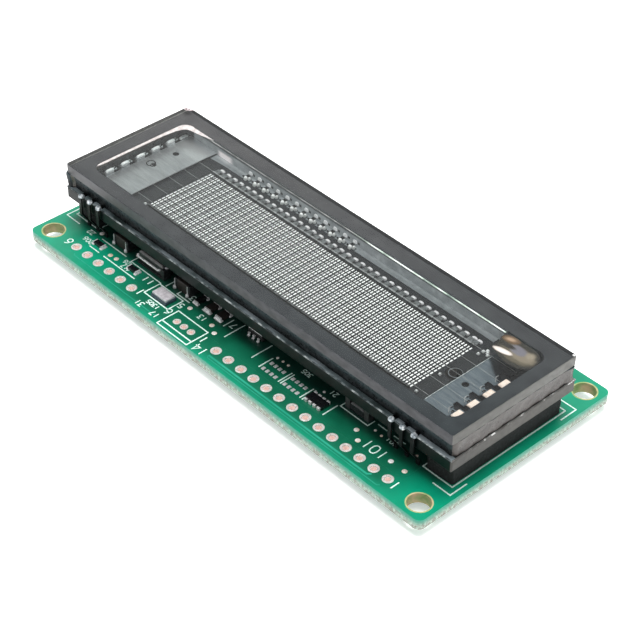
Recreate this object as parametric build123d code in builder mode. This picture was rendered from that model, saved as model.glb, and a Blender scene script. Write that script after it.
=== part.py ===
# Vacuum fluorescent dot-matrix display module: a flat glass tube on foam over its circuit board.
# Millimetres, +Z up through the display face, +X along the board, connector holes at the -Y edge.
import os

from build123d import *

os.makedirs("parts", exist_ok=True)

# Circuit board
board_length = 80.0
board_width = 36.0
board_thickness = 1.6
board_corner = 1.0
mount_hole = 3.2
mount_inset = 2.5
lead_tail = 1.0

# Connector holes along the near edge
row_inset = 2.5
pin_pitch = 2.54
pin_hole = 0.9
pin_pad = 1.75
pad_thickness = 0.05
pad_sides = 12
control_pins = 14
control_inset = 8.0
option_pins = 6
option_inset = 8.0
serial_pins = 3
serial_pitch = 1.5
serial_hole = 0.7
serial_pad = 1.3
serial_gap = 6.78

# Glass tube
tube_from_row = 3.9
foam_thickness = 3.4
rear_ledge_x = 0.2
rear_ledge_y = 0.1
rear_glass_thickness = 2.05
front_glass_length = 77.4
front_glass_width = 22.8
front_glass_thickness = 1.6
glass_bevel = 0.18
glass_gap = 2.35
seal_recess = 0.7
bead_height = 0.75
border_left = 2.4
border_right = 2.7
border_near = 2.75
border_far = 2.3
border_thickness = 0.06
window_corner = 1.6

# Dots, grids and filaments
dots_from_left = 10.23
dots_from_right = 9.47
dots_from_near = 2.3
dots_from_far = 3.85
dot_columns = 112
dot_rows = 16
row_gap = 0.15
dot_height = 0.06
anode_thickness = 0.1
anode_margin = 0.15
grid_columns = 3
grid_lift = 0.35
grid_thickness = 0.08
grid_bar = 0.1
grid_split = 0.06
grid_overrun = 0.35
weld_width = 0.8
weld_length = 0.75
weld_height = 0.6
tab_length = 1.0
bus_width = 0.9
bus_overrun = 1.0
filament_count = 5
filament_spread = 0.985
filament_lift = 0.75
filament_diameter = 0.1

# Filament anchors, getter and exhaust
anchor_lift = 0.3
anchor_sheet = 0.12
anchor_clearance = 0.35
left_anchor_gap = 3.2
right_anchor_gap = 3.1
anchor_hole = 1.0
anchor_hole_inset = 2.2
anchor_holes_y = (0.5, 4.8)
anchor_reach = 3.0
anchor_foot = 0.6
arm_waist = 0.75
arm_bulge = 0.25
tab_width = 1.5
tab_depth = 0.75
spring_rise = 0.75
spring_reach = 1.1
getter_ring_diameter = 1.8
getter_wire = 0.35
getter_wall_gap = 0.4
mirror_length = 6.1
mirror_width = 4.5
mirror_drop = 2.6
mirror_thickness = 0.05
exhaust_hole = 2.6
exhaust_margin = 0.6
exhaust_rise = 0.4
exhaust_cap_diameter = 5.0
exhaust_cap_height = 1.0

# Tube leads
lead_width = 0.6
lead_thickness = 0.25
lead_pitch = 2.0
far_leads = 12
far_leads_share = 0.35
near_leads = 3
near_leads_from_left = 3.2
near_leads_from_right = 5.4
lead_bow = 0.35
lead_tuck = 0.9
lead_drop = 0.75
lead_play = 0.05
lead_entry = 0.2
seat_gap = 0.1
joint_length = 1.5
joint_width = 1.3
joint_height = 0.75
joint_slope = 0.4
contact_rise = 0.45

# Foam
foam_length = 4.6
foam_inset = 0.75
foam_near_clearance = 0.35

# Small parts on the board: where their lines lie, counted from the connector row, then their sizes.
# Places along the board are shares of the window's length, so the parts spread with the tube.
part_line = 4.65
can_line = 1.9
point_line = 2.5
chip_line = 2.7
array_line = 3.1
chip_overhang = 0.25
regulator_setback = 1.1
transformer_setback = 0.65
bulk_length = 3.3
bulk_width = 2.5
bulk_height = 1.8
bulk_shares = (-0.3817, -0.1909)
inductor_length = 5.4
inductor_width = 4.2
inductor_height = 2.1
inductor_share = -0.2863
clip_thickness = 0.3
transformer_length = 4.4
transformer_width = 6.0
transformer_height = 2.2
transformer_share = 0.2877
transformer_limb = 0.9
can_length = 3.2
can_width = 2.0
can_height = 0.85
can_share = -0.2006
lid_margin = 0.12
lid_share = 0.4
array_length = 3.2
array_width = 1.5
array_height = 0.5
array_pitch = 0.8
array_elements = 4
array_end = 0.3
array_places = 3
array_share = 0.0989
array_spacing = 4.25
chip_length = 2.0
chip_width = 1.2
chip_height = 0.6
capacitor_shares = (-0.1127, -0.0809)
resistor_shares = (-0.1466, -0.417, -0.3077)
regulator_length = 2.9
regulator_width = 1.6
regulator_height = 1.0
regulator_pitch = 0.95
regulator_share = 0.0055
leg_width = 0.4
leg_sheet = 0.15
leg_reach = 0.5
terminal_share = 0.45
solder_pad_height = 0.12
test_pad = 0.9
small_pad = 0.5
small_sides = 8
large_points = ((-0.1432, 1.28), (-0.0761, 1.22), (-0.0553, 0.88), (0.3167, 1.32), (0.3382, 0.82),
                (0.4149, 1.0), (0.4488, 1.0), (-0.3389, 2.16), (-0.3762, 0.96), (-0.3589, 1.0))
small_points = ((0.0775, 2.08), (0.092, 2.1), (0.1065, 2.1), (0.2047, 2.08), (0.3402, 2.02),
                (0.3575, 1.96), (0.4357, 2.26))

# Levels, worked out upwards from the cut ends of the leads
board_bottom = lead_tail
board_top = board_bottom + board_thickness
rear_bottom = board_top + foam_thickness
rear_top = rear_bottom + rear_glass_thickness
front_bottom = rear_top + glass_gap
anode_top = rear_top + anode_thickness
border_bottom = front_bottom - border_thickness
bead_bottom = border_bottom - bead_height

# Outlines, worked out from the sizes above
near_edge = -board_width / 2
row_y = near_edge + row_inset
part_y = row_y + part_line
tube_offset = row_y + tube_from_row + front_glass_width / 2
rear_glass_length = front_glass_length + 2 * rear_ledge_x
rear_glass_width = front_glass_width + 2 * rear_ledge_y
front_x = front_glass_length / 2
front_near = tube_offset - front_glass_width / 2
front_far = tube_offset + front_glass_width / 2
rear_near = tube_offset - rear_glass_width / 2
rear_far = tube_offset + rear_glass_width / 2
window_left = -front_x + border_left
window_right = front_x - border_right
window_near = front_near + border_near
window_far = front_far - border_far
window_length = window_right - window_left
window_width = window_far - window_near
window_x = (window_left + window_right) / 2
window_y = (window_near + window_far) / 2
seal_length = front_glass_length - 2 * seal_recess
seal_width = front_glass_width - 2 * seal_recess
active_left = window_left + dots_from_left
active_right = window_right - dots_from_right
active_near = window_near + dots_from_near
active_far = window_far - dots_from_far
active_length = active_right - active_left
active_width = active_far - active_near
active_x = (active_left + active_right) / 2
active_y = (active_near + active_far) / 2
column_pitch = active_length / dot_columns
row_pitch = active_width / dot_rows
grid_bottom = anode_top + grid_lift
filament_pitch = filament_spread * active_width / (filament_count - 1)
filament_y = [active_y + (i - (filament_count - 1) / 2) * filament_pitch for i in range(filament_count)]
filament_level = anode_top + filament_lift
anchor_level = anode_top + anchor_lift
lead_level = rear_top + lead_thickness / 2
lead_near_y = rear_near + lead_tuck
lead_far_y = rear_far - lead_tuck
lead_under = rear_bottom - lead_drop
lead_step = board_top + lead_drop
near_centres = (window_left + near_leads_from_left, window_right - near_leads_from_right)
near_lead_x = [x + (i - (near_leads - 1) / 2) * lead_pitch for x in near_centres for i in range(near_leads)]
far_centre = window_left + far_leads_share * window_length
far_lead_x = [far_centre + (i - (far_leads - 1) / 2) * lead_pitch for i in range(far_leads)]
lead_places = [(x, lead_near_y) for x in near_lead_x] + [(x, lead_far_y) for x in far_lead_x]
control_x = [board_length / 2 - control_inset - i * pin_pitch for i in range(control_pins)]
option_x = [-board_length / 2 + option_inset + i * pin_pitch for i in range(option_pins)]
serial_places_x = [control_x[-1] - serial_gap + (i - (serial_pins - 1) / 2) * serial_pitch
                   for i in range(serial_pins)]
exhaust_x = active_right + exhaust_margin + exhaust_hole / 2
exhaust_y = active_y + exhaust_rise
bus_near = window_far - anode_margin - bus_width
contact_y = bus_near - seat_gap


def save(builder, name):
    """Labels one finished piece and writes its file."""
    builder.part.label = name
    export_step(builder.part, f"parts/{name}.step")


# The board: rounded corners, four mounting holes, plated holes and slots for the flat tube leads
with BuildPart() as board:
    with BuildSketch(Plane.XY.offset(board_bottom)):
        RectangleRounded(board_length, board_width, board_corner)
        with GridLocations(board_length - 2 * mount_inset, board_width - 2 * mount_inset, 2, 2):
            Circle(mount_hole / 2, mode=Mode.SUBTRACT)
        with Locations(*[(x, row_y) for x in control_x + option_x]):
            RegularPolygon(pin_hole / 2, pad_sides, mode=Mode.SUBTRACT)
        with Locations(*[(x, row_y) for x in serial_places_x]):
            RegularPolygon(serial_hole / 2, pad_sides, mode=Mode.SUBTRACT)
        with Locations(*lead_places):
            Rectangle(lead_width + 2 * lead_play, lead_thickness + 2 * lead_play, mode=Mode.SUBTRACT)
    extrude(amount=board_thickness)
save(board, "circuit_board")

# Rings of tinned copper round the connector holes
for name, places_x, pad, hole in (("control_pads", control_x, pin_pad, pin_hole),
                                  ("option_pads", option_x, pin_pad, pin_hole),
                                  ("serial_pads", serial_places_x, serial_pad, serial_hole)):
    with BuildPart() as rings:
        with BuildSketch(Plane.XY.offset(board_top)):
            with Locations(*[(x, row_y) for x in places_x]):
                RegularPolygon(pad / 2, pad_sides)
                RegularPolygon(hole / 2, pad_sides, mode=Mode.SUBTRACT)
        extrude(amount=pad_thickness)
    save(rings, name)

# Foam strips that hold the tube off the board, one at each end
foam_near = lead_near_y + lead_thickness / 2 + foam_near_clearance
foam_far = lead_far_y - lead_thickness / 2 - foam_near_clearance
for name, side in (("foam_pad_left", -1), ("foam_pad_right", 1)):
    with BuildPart() as foam:
        with BuildSketch(Plane.XY.offset(board_top)):
            with Locations((side * (rear_glass_length / 2 - foam_inset - foam_length / 2),
                            (foam_near + foam_far) / 2)):
                Rectangle(foam_length, foam_far - foam_near)
        extrude(amount=foam_thickness)
    save(foam, name)

# Rear glass, bored for the exhaust, its edges ground
with BuildPart() as rear_glass:
    with BuildSketch(Plane.XY.offset(rear_bottom)):
        with Locations((0, tube_offset)):
            Rectangle(rear_glass_length, rear_glass_width)
        with Locations((exhaust_x, exhaust_y)):
            Circle(exhaust_hole / 2, mode=Mode.SUBTRACT)
    extrude(amount=rear_glass_thickness)
    outer_faces = rear_glass.faces().filter_by(Axis.X) + rear_glass.faces().filter_by(Axis.Y)
    chamfer(outer_faces.edges().filter_by(GeomType.LINE), glass_bevel)
save(rear_glass, "rear_glass")

# Cap that closes the exhaust hole from below
with BuildPart() as exhaust_cap:
    with BuildSketch(Plane.XY.offset(rear_bottom - exhaust_cap_height)):
        with Locations((exhaust_x, exhaust_y)):
            RegularPolygon(exhaust_cap_diameter / 2, pad_sides)
    extrude(amount=exhaust_cap_height)
save(exhaust_cap, "exhaust_cap")

# Dark insulating layer with the wiring under it, printed on the rear glass inside the seal
with BuildPart() as anode_plate:
    with BuildSketch(Plane.XY.offset(rear_top)):
        with Locations((window_x, window_y)):
            RectangleRounded(window_length - 2 * anode_margin, window_width - 2 * anode_margin,
                             window_corner)
        with Locations((exhaust_x, exhaust_y)):
            Circle(exhaust_hole / 2, mode=Mode.SUBTRACT)
        with Locations(*[(x, window_far - bus_width / 2) for x in far_lead_x]):
            Rectangle(lead_width + 2 * lead_play, bus_width, mode=Mode.SUBTRACT)
        with Locations(*[(x, window_near) for x in near_lead_x]):
            Rectangle(lead_width + 2 * lead_play, 2 * bus_width, mode=Mode.SUBTRACT)
    extrude(amount=anode_thickness)
save(anode_plate, "anode_plate")

# Phosphor, one raised strip for each row of dots
with BuildPart() as dot_strips:
    with BuildSketch(Plane.XY.offset(anode_top)):
        with Locations((active_x, active_y)):
            with GridLocations(0, row_pitch, 1, dot_rows):
                Rectangle(active_length, row_pitch - row_gap)
    extrude(amount=dot_height)
save(dot_strips, "dot_rows")

# Control grids: one comb of thin bars over every three columns, each with a tab at its far end
grid_near = active_near - grid_overrun
grid_far = active_far + grid_overrun
full_grids = dot_columns // grid_columns
spare_columns = dot_columns - full_grids * grid_columns
grid_spans = [(i * grid_columns, grid_columns) for i in range(full_grids)]
if spare_columns:
    grid_spans.append((full_grids * grid_columns, spare_columns))
grid_tab_x = []
with BuildPart() as grids:
    with BuildSketch(Plane.XY.offset(grid_bottom)):
        for first, count in grid_spans:
            left = active_left + first * column_pitch + grid_split / 2
            width = count * column_pitch - grid_split
            middle = left + width / 2
            grid_tab_x.append(middle)
            with Locations((middle, (grid_near + grid_far) / 2)):
                Rectangle(width, grid_far - grid_near)
            slot = column_pitch - grid_bar
            with Locations((active_left + (first + count / 2) * column_pitch, active_y)):
                with GridLocations(column_pitch, 0, count, 1):
                    Rectangle(slot, active_width, mode=Mode.SUBTRACT)
            with Locations((middle, grid_far + tab_length / 2)):
                Rectangle(min(weld_width, width), tab_length)
    extrude(amount=grid_thickness)
save(grids, "control_grids")

# Fired silver dots that fix the grid tabs
weld_y = grid_far + tab_length + weld_length / 2
with BuildPart() as welds:
    with BuildSketch(Plane.XY.offset(anode_top)):
        with Locations(*[(x, weld_y) for x in grid_tab_x]):
            Rectangle(weld_width, weld_length)
    extrude(amount=weld_height)
save(welds, "grid_welds")

# Insulating rail under the near ends of the grids
with BuildPart() as grid_rail:
    with BuildSketch(Plane.XY.offset(anode_top)):
        with Locations((active_x, grid_near + grid_overrun / 2)):
            Rectangle(active_length, grid_overrun * 0.8)
    extrude(amount=grid_lift)
save(grid_rail, "grid_rail")

# Light conductor band along the far side
bus_left = active_left - left_anchor_gap + seat_gap
bus_right = active_right + bus_overrun
with BuildPart() as bus_strip:
    with BuildSketch(Plane.XY.offset(anode_top)):
        with Locations(((bus_left + bus_right) / 2, bus_near + bus_width / 2)):
            Rectangle(bus_right - bus_left, bus_width)
        with Locations(*[(x, bus_near + bus_width / 2) for x in far_lead_x]):
            Rectangle(lead_width + 2 * lead_play, bus_width, mode=Mode.SUBTRACT)
    extrude(amount=dot_height)
save(bus_strip, "bus_strip")

# Left filament anchor: a sheet with locating holes and a raised tab for each filament
left_anchor_left = window_left + anchor_clearance
left_anchor_right = active_left - left_anchor_gap
left_plate_left = left_anchor_left + tab_depth
left_anchor_near = filament_y[0] - tab_width / 2
left_anchor_far = window_far - anode_margin
with BuildPart() as anchor_left:
    with BuildSketch(Plane.XY.offset(anchor_level)):
        with Locations(((left_plate_left + left_anchor_right) / 2,
                        (left_anchor_near + left_anchor_far) / 2)):
            Rectangle(left_anchor_right - left_plate_left, left_anchor_far - left_anchor_near)
        with Locations(*[(left_plate_left + anchor_hole_inset, active_y + y) for y in anchor_holes_y]):
            Circle(anchor_hole / 2, mode=Mode.SUBTRACT)
    extrude(amount=anchor_sheet)
    with BuildSketch(Plane.XY.offset(anode_top)):
        with Locations(*[(left_anchor_left + tab_depth / 2, y) for y in filament_y]):
            Rectangle(tab_depth, tab_width)
    extrude(amount=filament_lift - filament_diameter / 2)
save(anchor_left, "filament_anchor_left")

# Right filament anchor: a sheet that ends in curved spring arms, one for each filament
right_anchor_left = active_right + right_anchor_gap
arm_root = right_anchor_left + anchor_reach
arm_tip = arm_root + spring_reach
spring_level = anchor_level + anchor_sheet / 2
with BuildPart() as anchor_right:
    with BuildSketch(Plane.XY.offset(anchor_level)):
        with BuildLine():
            corner = (right_anchor_left, filament_y[0] - tab_width / 2)
            Line(corner, (arm_tip, corner[1]))
            for y, above in zip(filament_y, filament_y[1:] + [filament_y[-1] + filament_pitch]):
                low = (arm_tip, y - tab_width / 2)
                high = (arm_root, above - tab_width / 2 - arm_waist)
                middle = (arm_tip - arm_bulge * spring_reach, (low[1] + high[1]) / 2 + arm_bulge)
                ThreePointArc(low, middle, high)
                if above in filament_y:
                    Line(high, (arm_root, above - tab_width / 2))
                    Line((arm_root, above - tab_width / 2), (arm_tip, above - tab_width / 2))
            Polyline(high, (right_anchor_left, high[1] + arm_waist), corner)
        make_face()
        with Locations((right_anchor_left + anchor_reach / 2, active_y - anchor_holes_y[0])):
            Circle(anchor_hole / 2, mode=Mode.SUBTRACT)
    extrude(amount=anchor_sheet)
    for y in filament_y:
        with BuildSketch(Plane.XZ.offset(-y)):
            with BuildLine():
                Polyline((arm_tip - spring_rise, spring_level), (arm_tip, spring_level),
                         (arm_tip + spring_rise, spring_level + spring_rise),
                         (arm_tip + spring_rise + spring_reach, spring_level + spring_rise))
            trace(line_width=anchor_sheet)
        extrude(amount=tab_width / 2, both=True)
    with BuildSketch(Plane.XY.offset(anode_top)):
        with Locations(*[(right_anchor_left + anchor_foot / 2, y) for y in filament_y[1::2]]):
            Rectangle(anchor_foot, tab_width)
    extrude(amount=anchor_lift)
save(anchor_right, "filament_anchor_right")

# Oxide-coated heater wires, stretched between the anchors
filament_start = left_anchor_left
filament_end = arm_tip + filament_level - spring_level - anchor_sheet - filament_diameter / 2
with BuildPart() as filaments:
    with BuildSketch(Plane.YZ.offset(filament_start)):
        with Locations(*[(y, filament_level) for y in filament_y]):
            RegularPolygon(filament_diameter / 2, 6)
    extrude(amount=filament_end - filament_start)
save(filaments, "cathode_filaments")

# Getter ring in the far right corner, and the mirror that it flashed on the glass above
getter_x = window_right - mirror_length / 2
getter_y = window_far - getter_ring_diameter / 2 - getter_wall_gap
with BuildPart() as getter_ring:
    with BuildSketch(Plane.XY.offset(anode_top)):
        with Locations((getter_x, getter_y)):
            RegularPolygon(getter_ring_diameter / 2, pad_sides)
            RegularPolygon(getter_ring_diameter / 2 - getter_wire, pad_sides, mode=Mode.SUBTRACT)
    extrude(amount=2 * getter_wire)
save(getter_ring, "getter_ring")

mirror_bottom = border_bottom - mirror_thickness
with BuildPart() as getter_mirror:
    with BuildSketch(Plane.XY.offset(mirror_bottom)):
        with Locations((getter_x, window_far - mirror_drop)):
            Ellipse(mirror_length / 2, mirror_width / 2)
        with Locations((getter_x - 0.41 * mirror_length, window_far - mirror_drop / 2)):
            Ellipse(mirror_length * 0.2, mirror_width * 0.2)
        with Locations((getter_x - 0.43 * mirror_length, window_far - mirror_drop * 0.85)):
            Ellipse(mirror_length * 0.18, mirror_width * 0.07, mode=Mode.SUBTRACT)
        with Locations((window_x, window_y)):
            Rectangle(window_length - 2 * anode_margin, window_width - 2 * anode_margin,
                      mode=Mode.INTERSECT)
    extrude(amount=mirror_thickness)
save(getter_mirror, "getter_mirror")


# Glass side wall, notched where the leads pass under it
with BuildPart() as spacer:
    with BuildSketch(Plane.XY.offset(rear_top)):
        with Locations((0, tube_offset)):
            Rectangle(seal_length, seal_width)
        with Locations((window_x, window_y)):
            RectangleRounded(window_length, window_width, window_corner, mode=Mode.SUBTRACT)
    extrude(amount=bead_bottom - rear_top)
    with BuildSketch(Plane.XY.offset(rear_top)):
        with Locations(*[(x, window_near) for x in near_lead_x] + [(x, window_far) for x in far_lead_x]):
            Rectangle(lead_width, 4 * max(border_near, border_far))
    extrude(amount=lead_thickness, mode=Mode.SUBTRACT)
save(spacer, "spacer_frame")

# Pale sealing glass between the side wall and the front glass
with BuildPart() as bead:
    with BuildSketch(Plane.XY.offset(bead_bottom)):
        with Locations((0, tube_offset)):
            Rectangle(seal_length, seal_width)
        with Locations((window_x, window_y)):
            RectangleRounded(window_length, window_width, window_corner, mode=Mode.SUBTRACT)
    extrude(amount=bead_height)
save(bead, "seal_bead")

# Dark border printed on the inner face of the front glass
with BuildPart() as border:
    with BuildSketch(Plane.XY.offset(border_bottom)):
        with Locations((0, tube_offset)):
            Rectangle(front_glass_length - 2 * glass_bevel, front_glass_width - 2 * glass_bevel)
        with Locations((window_x, window_y)):
            RectangleRounded(window_length, window_width, window_corner, mode=Mode.SUBTRACT)
    extrude(amount=border_thickness)
save(border, "border_print")

with BuildPart() as front_glass:
    with BuildSketch(Plane.XY.offset(front_bottom)):
        with Locations((0, tube_offset)):
            Rectangle(front_glass_length, front_glass_width)
    extrude(amount=front_glass_thickness)
    chamfer(front_glass.edges(), glass_bevel)
save(front_glass, "front_glass")

# Flat leads: out of the seal over the rear glass, down its side, tucked under it and through the board
for name, places_x, side, edge, board_y in (("near_leads", near_lead_x, -1, rear_near, lead_near_y),
                                            ("far_leads", far_lead_x, 1, rear_far, lead_far_y)):
    outside = edge + side * lead_bow
    wall_y = (window_near if side < 0 else window_far) - side * lead_entry
    with BuildPart() as leads:
        for x in places_x:
            with BuildSketch(Plane.YZ.offset(x)):
                route = [(wall_y, lead_level), (outside, lead_level), (outside, lead_under),
                         (board_y, lead_step), (board_y, 0)]
                if side > 0:
                    route = [(contact_y, lead_level + contact_rise),
                             (contact_y + contact_rise, lead_level)] + route[1:]
                with BuildLine():
                    Polyline(*route)
                trace(line_width=lead_thickness)
            extrude(amount=lead_width / 2, both=True)
    save(leads, name)

# Solder cones round the cut lead ends
with BuildPart() as joints:
    with BuildSketch(Plane.XY.offset(board_bottom)):
        with Locations(*lead_places):
            Rectangle(joint_length, joint_width)
    extrude(amount=-joint_height)
    chamfer(joints.faces().sort_by(Axis.Z)[:len(lead_places)].edges(), joint_slope)
    with BuildSketch(Plane.XY):
        with Locations(*lead_places):
            Rectangle(lead_width, lead_thickness)
    extrude(amount=board_bottom, mode=Mode.SUBTRACT)
save(joints, "solder_joints")


def chip_pair(body_name, terminal_name, places, size, share):
    """Ceramic chips: a body between two metal end caps, all of one kind in two nodes."""
    length, width, height = size
    cap = share * min(length, width) / 2
    with BuildPart() as bodies:
        with BuildSketch(Plane.XY.offset(board_top)):
            for x, y, turned in places:
                with Locations(Location((x, y), 90 if turned else 0)):
                    Rectangle(length - 2 * cap, width)
        extrude(amount=height)
    save(bodies, body_name)
    with BuildPart() as caps:
        with BuildSketch(Plane.XY.offset(board_top)):
            for x, y, turned in places:
                with Locations(Location((x, y), 90 if turned else 0)):
                    with GridLocations(length - cap, 0, 2, 1):
                        Rectangle(cap, width)
        extrude(amount=height)
    save(caps, terminal_name)


bulk_y = part_y + bulk_width / 2
chip_pair("bulk_capacitors", "bulk_capacitor_ends",
          [(share * window_length, bulk_y, False) for share in bulk_shares],
          (bulk_length, bulk_width, bulk_height), terminal_share)
tall_y = part_y - chip_overhang + chip_length / 2
chip_pair("chip_capacitors", "chip_capacitor_ends",
          [(share * window_length, tall_y, True) for share in capacitor_shares],
          (chip_length, chip_width, chip_height), terminal_share)
resistor_places = [(resistor_shares[0] * window_length, tall_y, True)]
resistor_places += [(share * window_length, row_y + chip_line, False) for share in resistor_shares[1:]]
chip_pair("chip_resistors", "chip_resistor_ends", resistor_places,
          (chip_length, chip_width * 0.75, chip_height * 0.75), terminal_share)

# Power inductor with the tinned clip that wraps its near edge and right end
inductor_x = inductor_share * window_length
with BuildPart() as inductor:
    with BuildSketch(Plane.XY.offset(board_top)):
        with Locations((inductor_x, part_y + inductor_width / 2)):
            Rectangle(inductor_length, inductor_width)
    extrude(amount=inductor_height)
    chamfer(inductor.faces().sort_by(Axis.Z)[-1].edges(), clip_thickness)
save(inductor, "power_inductor")
with BuildPart() as clip:
    with BuildSketch(Plane.XY.offset(board_top)):
        with Locations((inductor_x, part_y - clip_thickness / 2)):
            Rectangle(inductor_length, clip_thickness)
    extrude(amount=clip_thickness)
    with BuildSketch(Plane.XY.offset(board_top)):
        with Locations((inductor_x + inductor_length / 2 + clip_thickness, part_y + clip_thickness)):
            Rectangle(2 * clip_thickness, 4 * clip_thickness)
    extrude(amount=inductor_height - clip_thickness)
save(clip, "inductor_clip")

# Step-up transformer: a core with side limbs and the winding between them
transformer_x = transformer_share * window_length
transformer_y = part_y + transformer_setback + transformer_width / 2
with BuildPart() as core:
    with BuildSketch(Plane.XY.offset(board_top)):
        with Locations((transformer_x, transformer_y)):
            with GridLocations(transformer_length - transformer_limb, 0, 2, 1):
                Rectangle(transformer_limb, transformer_width)
            Rectangle(transformer_length, transformer_width / 3)
    extrude(amount=transformer_height)
save(core, "transformer_core")
with BuildPart() as winding:
    with BuildSketch(Plane.XY.offset(board_top)):
        with Locations((transformer_x, transformer_y)):
            with GridLocations(0, transformer_width * 2 / 3, 1, 2):
                Rectangle(transformer_length - 2 * transformer_limb, transformer_width / 3)
    extrude(amount=transformer_height - 2 * clip_thickness)
    chamfer(winding.faces().filter_by(Axis.Z).sort_by(Axis.Z)[-2:].edges(), clip_thickness)
save(winding, "transformer_winding")

# Oscillator: a ceramic base under a metal lid
can_x = can_share * window_length
can_y = row_y + can_line
with BuildPart() as can_base:
    with BuildSketch(Plane.XY.offset(board_top)):
        with Locations((can_x, can_y)):
            Rectangle(can_length, can_width)
    extrude(amount=can_height * (1 - lid_share))
save(can_base, "oscillator_base")
with BuildPart() as can_lid:
    with BuildSketch(Plane.XY.offset(board_top + can_height * (1 - lid_share))):
        with Locations((can_x, can_y)):
            Rectangle(can_length - 2 * lid_margin, can_width - 2 * lid_margin)
    extrude(amount=can_height * lid_share)
save(can_lid, "oscillator_lid")

# Regulator with gull-wing legs, three on the near side and two on the far side
regulator_x = regulator_share * window_length
regulator_y = part_y + regulator_setback + regulator_width / 2
with BuildPart() as regulator:
    with BuildSketch(Plane.XY.offset(board_top + leg_sheet)):
        with Locations((regulator_x, regulator_y)):
            Rectangle(regulator_length, regulator_width)
    extrude(amount=regulator_height)
    chamfer(regulator.faces().sort_by(Axis.Z)[-1].edges(), leg_sheet)
save(regulator, "regulator_chip")
with BuildPart() as legs:
    for side, columns in ((-1, (-1, 0, 1)), (1, (-1, 1))):
        face_y = regulator_y + side * regulator_width / 2
        for column in columns:
            with BuildSketch(Plane.YZ.offset(regulator_x + column * regulator_pitch)):
                with BuildLine():
                    Polyline((face_y + side * leg_sheet / 2, board_top + regulator_height / 2),
                             (face_y + side * leg_reach / 2, board_top + regulator_height / 2),
                             (face_y + side * leg_reach / 2, board_top + leg_sheet / 2),
                             (face_y + side * leg_reach, board_top + leg_sheet / 2))
                trace(line_width=leg_sheet)
            extrude(amount=leg_width / 2, both=True)
save(legs, "regulator_legs")

# Three places for four-element resistor arrays: two bare, the third filled
array_y = row_y + array_line
array_x = [array_share * window_length + i * array_spacing for i in range(array_places)]
with BuildPart() as array_pads:
    with BuildSketch(Plane.XY.offset(board_top)):
        for x in array_x[:-1]:
            with Locations((x, array_y)):
                with GridLocations(array_pitch, array_width, array_elements, 2):
                    Rectangle(array_pitch - array_end, 2 * array_end)
    extrude(amount=solder_pad_height)
save(array_pads, "array_pads")
with BuildPart() as array_body:
    with BuildSketch(Plane.XY.offset(board_top)):
        with Locations((array_x[-1], array_y)):
            Rectangle(array_length, array_width)
    extrude(amount=array_height)
save(array_body, "resistor_array")
with BuildPart() as array_ends:
    with BuildSketch(Plane.XY.offset(board_top)):
        with Locations((array_x[-1], array_y)):
            with GridLocations(array_pitch, array_width + array_end, array_elements, 2):
                Rectangle(array_pitch - array_end, array_end)
    extrude(amount=array_height)
save(array_ends, "resistor_array_ends")

# Solder-covered test points, large and small, and the foot of a part between the left leads
with BuildPart() as test_points:
    with BuildSketch(Plane.XY.offset(board_top)):
        with Locations(*[(share * window_length, row_y + k * point_line) for share, k in large_points],
                       (near_centres[0] + lead_pitch / 2, lead_near_y)):
            RegularPolygon(test_pad / 2, small_sides)
        with Locations(*[(share * window_length, row_y + k * point_line) for share, k in small_points]):
            RegularPolygon(small_pad / 2, small_sides)
    extrude(amount=solder_pad_height)
save(test_points, "test_points")
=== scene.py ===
# %% [markdown]
# # A vacuum fluorescent display module
#
# The real thing is a flat glass tube on foam over a green circuit board. Inside the tube are rows of
# phosphor dots, fine metal grids above them and five hair-thin hot wires above the grids. This lesson
# dresses its plain CAD model in Blender: every piece gets the edges, the small parts and the finish that
# the eye expects. The CAD model is the frame, so each new piece takes its place from it.

import math

import bmesh
import bpy
from mathutils import Matrix, Vector


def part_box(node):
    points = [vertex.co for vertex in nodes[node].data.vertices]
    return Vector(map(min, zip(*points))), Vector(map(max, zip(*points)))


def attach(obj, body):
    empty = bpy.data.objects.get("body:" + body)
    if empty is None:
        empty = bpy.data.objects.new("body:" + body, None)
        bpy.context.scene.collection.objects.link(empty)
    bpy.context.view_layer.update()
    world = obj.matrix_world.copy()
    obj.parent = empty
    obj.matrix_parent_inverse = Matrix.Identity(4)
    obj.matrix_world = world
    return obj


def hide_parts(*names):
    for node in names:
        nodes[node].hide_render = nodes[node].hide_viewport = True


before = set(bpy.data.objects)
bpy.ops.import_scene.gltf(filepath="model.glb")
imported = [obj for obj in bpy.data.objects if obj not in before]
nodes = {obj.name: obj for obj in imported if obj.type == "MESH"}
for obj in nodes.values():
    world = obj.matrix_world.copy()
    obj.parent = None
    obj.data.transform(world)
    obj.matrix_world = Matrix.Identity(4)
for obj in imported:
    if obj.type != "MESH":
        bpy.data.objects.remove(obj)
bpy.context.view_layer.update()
MM = 0.001

# %% [markdown]
# ## Places from the frame
#
# Blender works in metres here and the drawing was made in millimetres, so one value turns one into the
# other. A CAD node may hold many equal solids, such as twelve leads. Instead of typing their places again,
# we weld the node's mesh, walk over connected points and read the box of each separate solid.


# %% Read spans and solids
def span(name):
    """Lowest and highest corner of a CAD node, in millimetres."""
    low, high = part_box(name)
    return low / MM, high / MM


def solids(name):
    """Lowest and highest corner of each separate solid of a CAD node, in millimetres, left to right."""
    mesh = bmesh.new()
    mesh.from_mesh(nodes[name].data)
    bmesh.ops.remove_doubles(mesh, verts=mesh.verts, dist=0.0005 * MM)
    unseen = set(mesh.verts)
    boxes = []
    while unseen:
        reached = [unseen.pop()]
        for vertex in reached:
            near = {edge.other_vert(vertex) for edge in vertex.link_edges} & unseen
            unseen -= near
            reached.extend(near)
        low = Vector([min(v.co[axis] for v in reached) / MM for axis in range(3)])
        high = Vector([max(v.co[axis] for v in reached) / MM for axis in range(3)])
        boxes.append((low, high))
    mesh.free()
    return sorted(boxes, key=lambda box: (round(box[0].x, 2), box[0].y))


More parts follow.
